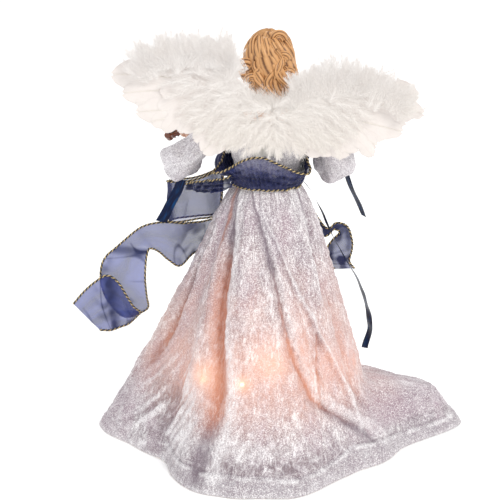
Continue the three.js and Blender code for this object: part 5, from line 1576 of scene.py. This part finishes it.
def wired_edge(name, line, body, wide=1.05, pitch=4.8):
    """Two threads, gold and black, twisted round each other along an edge."""
    length = float(np.linalg.norm(np.diff(line, axis=0), axis=1).sum())
    count = max(12, int(length / 0.4))
    line = even(line, count)[None]
    _, side, up = frames(line)
    turn = np.linspace(0, length / pitch * 2 * np.pi, count)[None, :, None]
    for k, (shade, paint) in enumerate((("gold", gold_thread), ("black", black_thread))):
        spun = line + wide * 0.5 * (np.cos(turn + k * np.pi) * side + np.sin(turn + k * np.pi) * up)
        v, f, _ = tubes(spun, np.full((1, count), wide * 0.52), 6)
        obj = piece(mesh(f"{name}_{shade}", v, f), paint, body)
        yield obj


def ribbon_grid(table, rows, columns):
    """A surface between the two edges of a ribbon table (points in hundreds of millimetres)."""
    t = np.asarray(table, float) * 100
    a, b = spline(t[:, :3], rows), spline(t[:, 3:], rows)
    share = np.linspace(0, 1, columns)[None, :, None]
    return a[:, None] * (1 - share) + b[:, None] * share


def hang_ribbon(name, p, paint, body, node, edges=True, shade=0.0):
    rows, columns = p.shape[:2]
    far = np.concatenate([[0], np.cumsum(np.linalg.norm(np.diff(p[:, columns // 2], axis=0), axis=1))]) * MM
    wide = np.linalg.norm(np.diff(p, axis=1), axis=2).sum(1).mean() * MM
    uv = np.stack(np.broadcast_arrays(np.linspace(0, wide, columns)[None], far[:, None]), -1)
    along = unit(np.gradient(p[:, columns // 2], axis=0))
    bend = np.linalg.norm(np.gradient(along, axis=0), axis=1) / np.maximum(np.gradient(far / MM), 1e-6)
    bend = np.convolve(np.pad(bend, 8, mode="edge"), np.ones(17) / 17, "valid")[:, None]
    pleat = 1 - smoothstep(np.abs(ripple(uv / MM * [0.5, 1], 40, rows, 5)), 0.0, 0.16)
    pleat = pleat * smoothstep(ripple(uv / MM, 60, rows + 1, 5), -0.4, 0.4)
    # The fold field: denser cloth at bends and pleats, plus the painted shade passed in.
    fold = np.clip(smoothstep(bend, 0.035, 0.11) * 0.75 + 0.5 * pleat + shade, 0, 1) * np.ones((1, columns))
    obj = mesh(name, p, grid_faces(rows, columns), uv, fold=fold)
    piece(obj, paint, body, [node])
    going = []
    if edges:
        for k, edge in enumerate((p[:, 0], p[:, -1])):
            going += list(wired_edge(f"{name}_edge_{k + 1}", edge, body))
    return obj


def crumple(p, size, amount, seed, hold=0.0):
    """Soft wrinkles across a ribbon, less at its edges."""
    n = grid_normals(p, False)
    across = np.linspace(-1, 1, p.shape[1])[None]
    room = 1 - hold * across**2
    return p + n * (amount * ripple(p, size, seed) * room)[..., None]


def make_sash():
    rows, columns = 70, 520
    s = np.linspace(0, 1, rows)[:, None]
    a = (np.arange(columns) * 2 * np.pi / columns)[None]
    wave = 0.5 + 0.5 * np.sin(5 * a)
    lean = s * 5 * (0.6 + 0.5 * wave)
    bulge = (2.4 + 5 * np.sin(np.pi * s) * (0.35 + 0.3 * wave)) * 0.9
    inner = SKIRT_TOP + 0.3
    gathers = (
        0.9 * np.sin(52 * a + 3 * np.sin(3 * a) + 2.5 * s) * np.sin(np.pi * np.clip(s * 1.1, 0, 1)) ** 0.6
    )
    radius = inner + lean + bulge + gathers
    z = SASH_FOOT + 26 * s * (1 + 0.12 * np.sin(3 * a + 1))
    ruffle = smoothstep(s, 0.78, 1.0)
    degrees = np.degrees(a)
    flare = (
        15 * bell(swing(206, degrees), 0, 24) + 8 * bell(swing(322, degrees), 0, 22)
        + 10 * bell(swing(264, degrees), 0, 28)
    )
    radius = radius + ruffle * (1.6 * np.sin(9 * a + 1) + 1.0) + s**2 * flare
    rim = (
        7 * bell(swing(262, degrees), 0, 26) - 9 * bell(swing(206, degrees), 0, 24)
        - 7 * bell(swing(322, degrees), 0, 22)
    )
    z = z + rim * s**2 + 1.5 * bell(swing(262, degrees), 0, 40) * (1 - s) ** 2
    p = np.stack([radius * np.cos(a), radius * np.sin(a), z], -1)
    n = unit(p * [1, 1, 0])
    tuck = (
        -1.6 * bell(s, 0.34 + 0.1 * np.sin(2 * a), 0.05)
        - 1.2 * bell(s, 0.62 + 0.08 * np.sin(3 * a + 2), 0.04)
    )
    p = p + n * (tuck + 0.7 * ripple(p, 13, 52) + 0.4 * ripple(p, 5, 53))[..., None]
    length = float(np.linalg.norm(np.diff(p[rows // 2], axis=0), axis=1).sum()) * MM
    uv = np.stack(np.broadcast_arrays(s * 0.03, a / 6.3 * length), -1)
    sheer_window = bell(swing(262, degrees), 0, 34) * bell(s, 0.84, 0.24)
    fold = np.clip(
        1.0 - 1.1 * sheer_window + 0.2 * ripple(p * [1, 1, 2], 10, 54) + 0.25 * np.sin(
            52 * a + 3 * np.sin(3 * a)
        ) * sheer_window,
        0, 1
    )
    obj = mesh("wired_sash", p, grid_faces(rows, columns, True), uv, fold=fold)
    piece(obj, gathered_organza, "figure", ["waist_sash"])
    going = []
    for k, row in enumerate((p[-1], p[0])):
        closed = np.concatenate([row, row[:1]])
        going += list(wired_edge(f"wired_sash_edge_{k + 1}", closed, "figure", 1.15, 4.6))


def seen_at(right, down, level, moved=0):
    """A ribbon's point: a pixel's place on the upright plane at a level in mm, then moved back by a given
    amount.
    """
    ray = camera_ray((right, down))
    x, _, z = np.array(CAMERA_AT) + ray * (level - CAMERA_AT[1]) / ray[1]
    return round(x) / RIBBON_SPAN, (level + moved) / RIBBON_SPAN, round(z) / RIBBON_SPAN


# Ribbons: rows of a point on each edge, x y z in shares of this span in mm.
RIBBON_SPAN = 100
BOW = [
    (-0.4, 0.2, 2.75, -0.4, 0.2, 2.65),
    (-0.52, 0.22, 2.62, -0.45, 0.28, 2.23),
    (-0.7, 0.21, 2.56, -0.66, 0.21, 2.18),
    (-0.86, 0.19, 2.55, -0.84, 0.19, 2.16),
    (-0.93, 0.24, 2.54, -0.92, 0.24, 2.15),
    (-0.86, 0.3, 2.54, -0.84, 0.3, 2.16),
    (-0.66, 0.31, 2.56, -0.64, 0.31, 2.18),
    (-0.48, 0.27, 2.64, -0.45, 0.34, 2.23),
    (-0.42, 0.24, 2.68, -0.42, 0.25, 2.62),
]
# Pixels along the tail's two edges, the level in mm given to each, and what it was moved by.
LEFT_TAIL_OUTER_SEEN = [
    (190, 224, 24, 4), (172, 223, 20), (158, 223, 14), (143, 226, 6), (130, 235, -4), (118, 246, -12),
    (107, 256, -18), (101, 267, -20), (101, 282, -16), (108, 300, -10), (124, 316, -4, -2),
    (140, 313, -12), (133, 305, -22), (120, 284, -28), (108, 275, -26, -2),
]
LEFT_TAIL_INNER_SEEN = [
    (192, 258, 24, 12), (180, 266, 18, 2), (168, 259, 10), (159, 252, 0), (152, 249, -8), (148, 250, -14),
    (146, 262, -20), (145, 280, -20), (147, 298, -12), (148, 308, -4, 2), (140, 314, 0, 2),
]
LEFT_TAIL_END_SEEN = [(85, 290, -20, -3), (74, 303, -18, -2), (100, 327.8, -16, -6)]
# The rows before the pixels, the inner points after them and one row near the end are listed one by one.
LEFT_TAIL_TOP = [
    (-0.37, 0.25, 2.68, -0.36, 0.26, 2.64),
    (-0.32, 0.42, 2.5, -0.29, 0.42, 2.42),
    (-0.42, 0.46, 2.15, -0.39, 0.47, 1.98),
]
LEFT_TAIL_INNER_SET = [(-1.24, -0.02, 1.27), (-1.3, -0.07, 1.24), (-1.36, -0.12, 1.23), (-1.41, -0.15, 1.22)]
LEFT_TAIL = [
    *LEFT_TAIL_TOP,
    *[seen_at(*a) + seen_at(*b) for a, b in zip(LEFT_TAIL_OUTER_SEEN, LEFT_TAIL_INNER_SEEN)],
    *[seen_at(*a) + b for a, b in zip(LEFT_TAIL_OUTER_SEEN[11:], LEFT_TAIL_INNER_SET)],
    (-1.57, -0.26, 1.74, -1.46, -0.18, 1.22),
    seen_at(*LEFT_TAIL_END_SEEN[0]) + (-1.5, -0.2, 1.23),
    seen_at(*LEFT_TAIL_END_SEEN[1]) + seen_at(*LEFT_TAIL_END_SEEN[2]),
]
RIGHT_TAIL_OUTER_SEEN = [(352, 240, 36), (352, 250, 36)]
RIGHT_TAIL = [
    (0.231, 0.208, 2.63, 0.165, 0.264, 2.63),
    (0.28, 0.26, 2.53, 0.19, 0.32, 2.53),
    (0.4, 0.36, 2.28, 0.3, 0.42, 2.22),
    (0.56, 0.34, 2.05, 0.53, 0.35, 1.97),
    (0.66, 0.34, 2.1, 0.63, 0.35, 2.03),
    (0.76, 0.35, 2.06, 0.69, 0.38, 1.99),
    seen_at(*RIGHT_TAIL_OUTER_SEEN[0]) + (0.62, 0.42, 1.89),
    seen_at(*RIGHT_TAIL_OUTER_SEEN[1]) + (0.57, 0.42, 1.8),
    (0.79, 0.38, 1.7, 0.58, 0.43, 1.7),
    (0.84, 0.4, 1.62, 0.65, 0.43, 1.6),
]
LONG_SATIN = [
    (0.27, 0.11, 2.63, 0.25, 0.18, 2.63),
    (0.37, 0.15, 2.54, 0.345, 0.22, 2.54),
    (0.475, 0.16, 2.36, 0.45, 0.25, 2.36),
    (0.635, 0.17, 2.01, 0.61, 0.255, 2.01),
    (0.765, 0.2, 1.76, 0.735, 0.29, 1.76),
    (0.885, 0.27, 1.54, 0.85, 0.36, 1.54),
    (0.975, 0.36, 1.27, 0.94, 0.45, 1.27),
    (1.03, 0.44, 1.02, 0.985, 0.53, 1.02),
    (1.02, 0.49, 0.87, 0.975, 0.57, 0.87),
    (1.0, 0.52, 0.74, 0.94, 0.59, 0.72),
]
LEFT_SATIN = [
    (-0.83, 0.1, 2.6, -0.745, 0.1, 2.595),
    (-0.87, 0.125, 2.5, -0.78, 0.13, 2.48),
    (-0.96, 0.11, 2.33, -0.87, 0.13, 2.3),
    (-1.03, 0.11, 2.2, -0.93, 0.12, 2.17),
]
SHORT_SATIN = [
    (0.755, 0.13, 2.66, 0.705, 0.2, 2.66),
    (0.805, 0.14, 2.5, 0.755, 0.22, 2.5),
    (0.865, 0.14, 2.36, 0.82, 0.23, 2.36),
    (0.92, 0.13, 2.22, 0.88, 0.22, 2.22),
]


def make_ribbons():
    bow = crumple(ribbon_grid(BOW, 150, 30), 22, 0.9, 61, 0.5)
    hang_ribbon(
        "bow_loop", bow, loose_organza, "figure", "organza_bow"
    )
    tail = crumple(ribbon_grid(LEFT_TAIL, 420, 30), 24, 1.0, 62, 0.6)
    # Painted shade where the left tail twists.
    tail_shade = 0.75 * bell(tail[..., 0], -70, 13) * np.clip(0.5 + ripple(tail, 12, 71), 0, 1)
    tail_shade += 0.5 * bell(tail[..., 0], -150, 8) * np.clip(0.3 + ripple(tail, 14, 72), 0, 1)
    hang_ribbon(
        "left_organza_tail", tail, sheer, "figure", "organza_tail_left",
        shade=tail_shade
    )
    tail = crumple(ribbon_grid(RIGHT_TAIL, 170, 24), 20, 0.7, 63, 0.6)
    # Painted shade over the right tail.
    tail_shade = 0.8 * np.clip(0.35 + ripple(tail * [1, 1, 0.5], 9, 73), 0, 1)
    hang_ribbon(
        "right_organza_tail", tail, sheer, "figure", "organza_tail_right",
        shade=tail_shade
    )
    for name, table, rows, body, node, seed in (
        ("left_satin", LEFT_SATIN, 60, "left_arm", "satin_ribbon_left", 64),
        ("short_satin", SHORT_SATIN, 60, "right_arm", "satin_ribbon_right_short", 65),
        ("long_satin", LONG_SATIN, 200, "figure", "satin_ribbon_right_long", 66),
    ):
        p = crumple(ribbon_grid(table, rows, 14), 26, 0.5, seed, 0.2)
        hang_ribbon(name, p, blue_satin, body, node, edges=False)
    rows, columns = 60, 90
    polar = np.linspace(0, np.pi, rows)[:, None]
    a = (np.arange(columns) * 2 * np.pi / columns)[None]
    pleat = 1 + 0.07 * np.sin(11 * a + 2 * np.sin(2 * polar)) * np.sin(polar)
    ball = np.stack(np.broadcast_arrays(
        9 * pleat * np.sin(polar) * np.cos(a), 9 * pleat * np.sin(polar) * np.sin(a), 12 * np.cos(polar)
    ), -1) + [-39, 22.5, 272]
    knot = piece(
        mesh("bow_knot", ball, grid_faces(rows, columns, True)[:, ::-1]), knot_paint, "figure"
    )


knot_paint = plain_cloth("knotted_organza", (0.035, 0.045, 0.19), (0.010, 0.013, 0.07), 1100.0, 0.5)
def make_side_gathers():
    """The sash's own loose end, bunched from the waist to below the left sleeve."""
    upper = spline([(-33, -30, 276), (-44, -24, 271), (-55, -12, 266), (-66, -1, 262), (-74, 8, 257.5)], 120)
    lower = spline([(-31, -27, 264), (-42, -20, 259), (-54, -8, 254), (-66, 4, 251), (-75, 12, 250)], 120)
    share = np.linspace(0, 1, 50)[None, :, None]
    p = upper[:, None] * (1 - share) + lower[:, None] * share
    n = grid_normals(p, False)
    along = np.linspace(0, 1, 120)[:, None]
    wave = 1.7 * np.sin(share[..., 0] * 17 + 2 * np.sin(along * 5) + along * 4) + 0.9 * ripple(p, 7, 67)
    p = p + n * wave[..., None]
    uv = np.stack(np.broadcast_arrays(share[..., 0] * 0.03, along * 0.08), -1)
    fold = np.clip(0.85 + 0.25 * ripple(p, 9, 68), 0, 1)
    obj = mesh("side_gathers", p, grid_faces(120, 50), uv, fold=fold)
    piece(obj, gathered_organza, "figure")
    going = list(wired_edge("side_gathers_edge", p[:, 0], "figure"))


make_sash()
make_side_gathers()
make_ribbons()

# Hands, violin, bow and the parts inside


def smooth_hand(side):
    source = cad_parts[f"{side}_hand"]
    data = source.data.copy()
    obj = bpy.data.objects.new(f"{side}_cast_hand", data)
    bpy.context.scene.collection.objects.link(obj)
    data.materials.clear()
    remesh = obj.modifiers.new("even", "REMESH")
    remesh.mode = "VOXEL"
    remesh.voxel_size = 0.00035
    ease = obj.modifiers.new("ease", "SMOOTH")
    ease.factor = 0.5
    ease.iterations = 5
    dg = bpy.context.evaluated_depsgraph_get()
    final = bpy.data.meshes.new_from_object(obj.evaluated_get(dg))
    obj.modifiers.clear()
    obj.data = final
    for polygon in final.polygons:
        polygon.use_smooth = True
    piece(obj, hand_paint, f"{side}_arm", [f"{side}_hand"])


for side in ("left", "right"):
    smooth_hand(side)



def string_violin():
    """Four strings over the bridge and four pegs through the peg box."""
    along = unit(np.array([-0.905, 0.077, -0.419]))
    aside = unit(np.cross([0, 1, 0], along))
    level = unit(np.cross(along, aside))
    roll = math.radians(52)
    top = aside * math.cos(roll) - level * math.sin(roll)
    top = -top if top[2] < 0 else top
    top = top + level * 2 * math.sin(roll) if top[1] < 0 else top
    width = unit(np.cross(top, along))
    chin = np.array([-12.0, 35.0, TORSO_TOP + 7])

    def at(x, side, high):
        return chin + x * along + side * width + high * top

    v, f = [], []
    for k in (-1, -1 / 3, 1 / 3, 1):
        line = np.array(
            [at(15.3, 1.9 * k, 5.3), at(23.5, 3.2 * k, 6.95), at(79.0, 1.3 * k, 4.7), at(81.5, 1.0 * k, 2.6)]
        )
        v.append(even(spline(line[:2], 8), 8))
        v.append(even(spline(line[1:3], 8), 8))
        v.append(even(spline(line[2:], 8), 8))
    v, f, _ = tubes(np.array(v), np.full((len(v), 8), 0.2), 6)
    piece(mesh("violin_strings", v, f), steel, "left_arm")
    turn = []
    radius = []
    for k in range(4):
        side = 1 if k % 2 else -1
        turn.append(
            even(np.array([at(80.2 + 1.8 * k, -side * 2.4, 0.4), at(80.2 + 1.8 * k, side * 6.4, 0.4)]), 30)
        )
        radius.append(np.interp(np.arange(30), [0, 16, 20, 23, 27, 29], [0.55, 0.7, 0.6, 1.3, 1.25, 0.3]))
    v, f, _ = tubes(np.array(turn), np.array(radius), 14, flat=0.75)
    piece(mesh("violin_pegs", v, f), ebony, "left_arm")


dress("violin", wood("violin_varnish", (0.27, 0.07, 0.024), (0.10, 0.022, 0.009), 240.0, 0.18, 0.9))
ebony = wood("ebony", (0.035, 0.028, 0.025), (0.012, 0.010, 0.009), 300.0, 0.25, 0.5)
dress("violin_bow", wood("bow_varnish", (0.28, 0.12, 0.05), (0.14, 0.05, 0.02), 400.0, 0.3, 0.5))
dress("neck_dowel", wood("bare_dowel", (0.68, 0.50, 0.30), (0.52, 0.36, 0.20), 200.0, 0.6, 0.0))
dress("inner_cone", moulded("cone_plastic", (0.86, 0.85, 0.82), 0.4))
dress("wing_bracket", moulded("bracket_plastic", (0.82, 0.80, 0.76), 0.45))
lamp_plastic = moulded("lamp_plastic", (0.10, 0.26, 0.12), 0.4)
glass = moulded("lit_glass", (1.0, 0.80, 0.55), 0.12, 0.02, Coat_Weight=0.5)
glass.node_tree.nodes["Principled BSDF"].inputs["Emission Color"].default_value = (1.0, 0.66, 0.36, 1)
glass.node_tree.nodes["Principled BSDF"].inputs["Emission Strength"].default_value = 6.0
for i in range(1, 11):
    dress(f"lamp_holder_{i}", lamp_plastic)
    dress(f"bulb_{i}", glass)
steel = metal("drawn_wire", (0.62, 0.62, 0.64), 0.35)
string_violin()
for node in ("left_arm_wire", "right_arm_wire", "left_wing_frame", "right_wing_frame"):
    dress(node, steel)
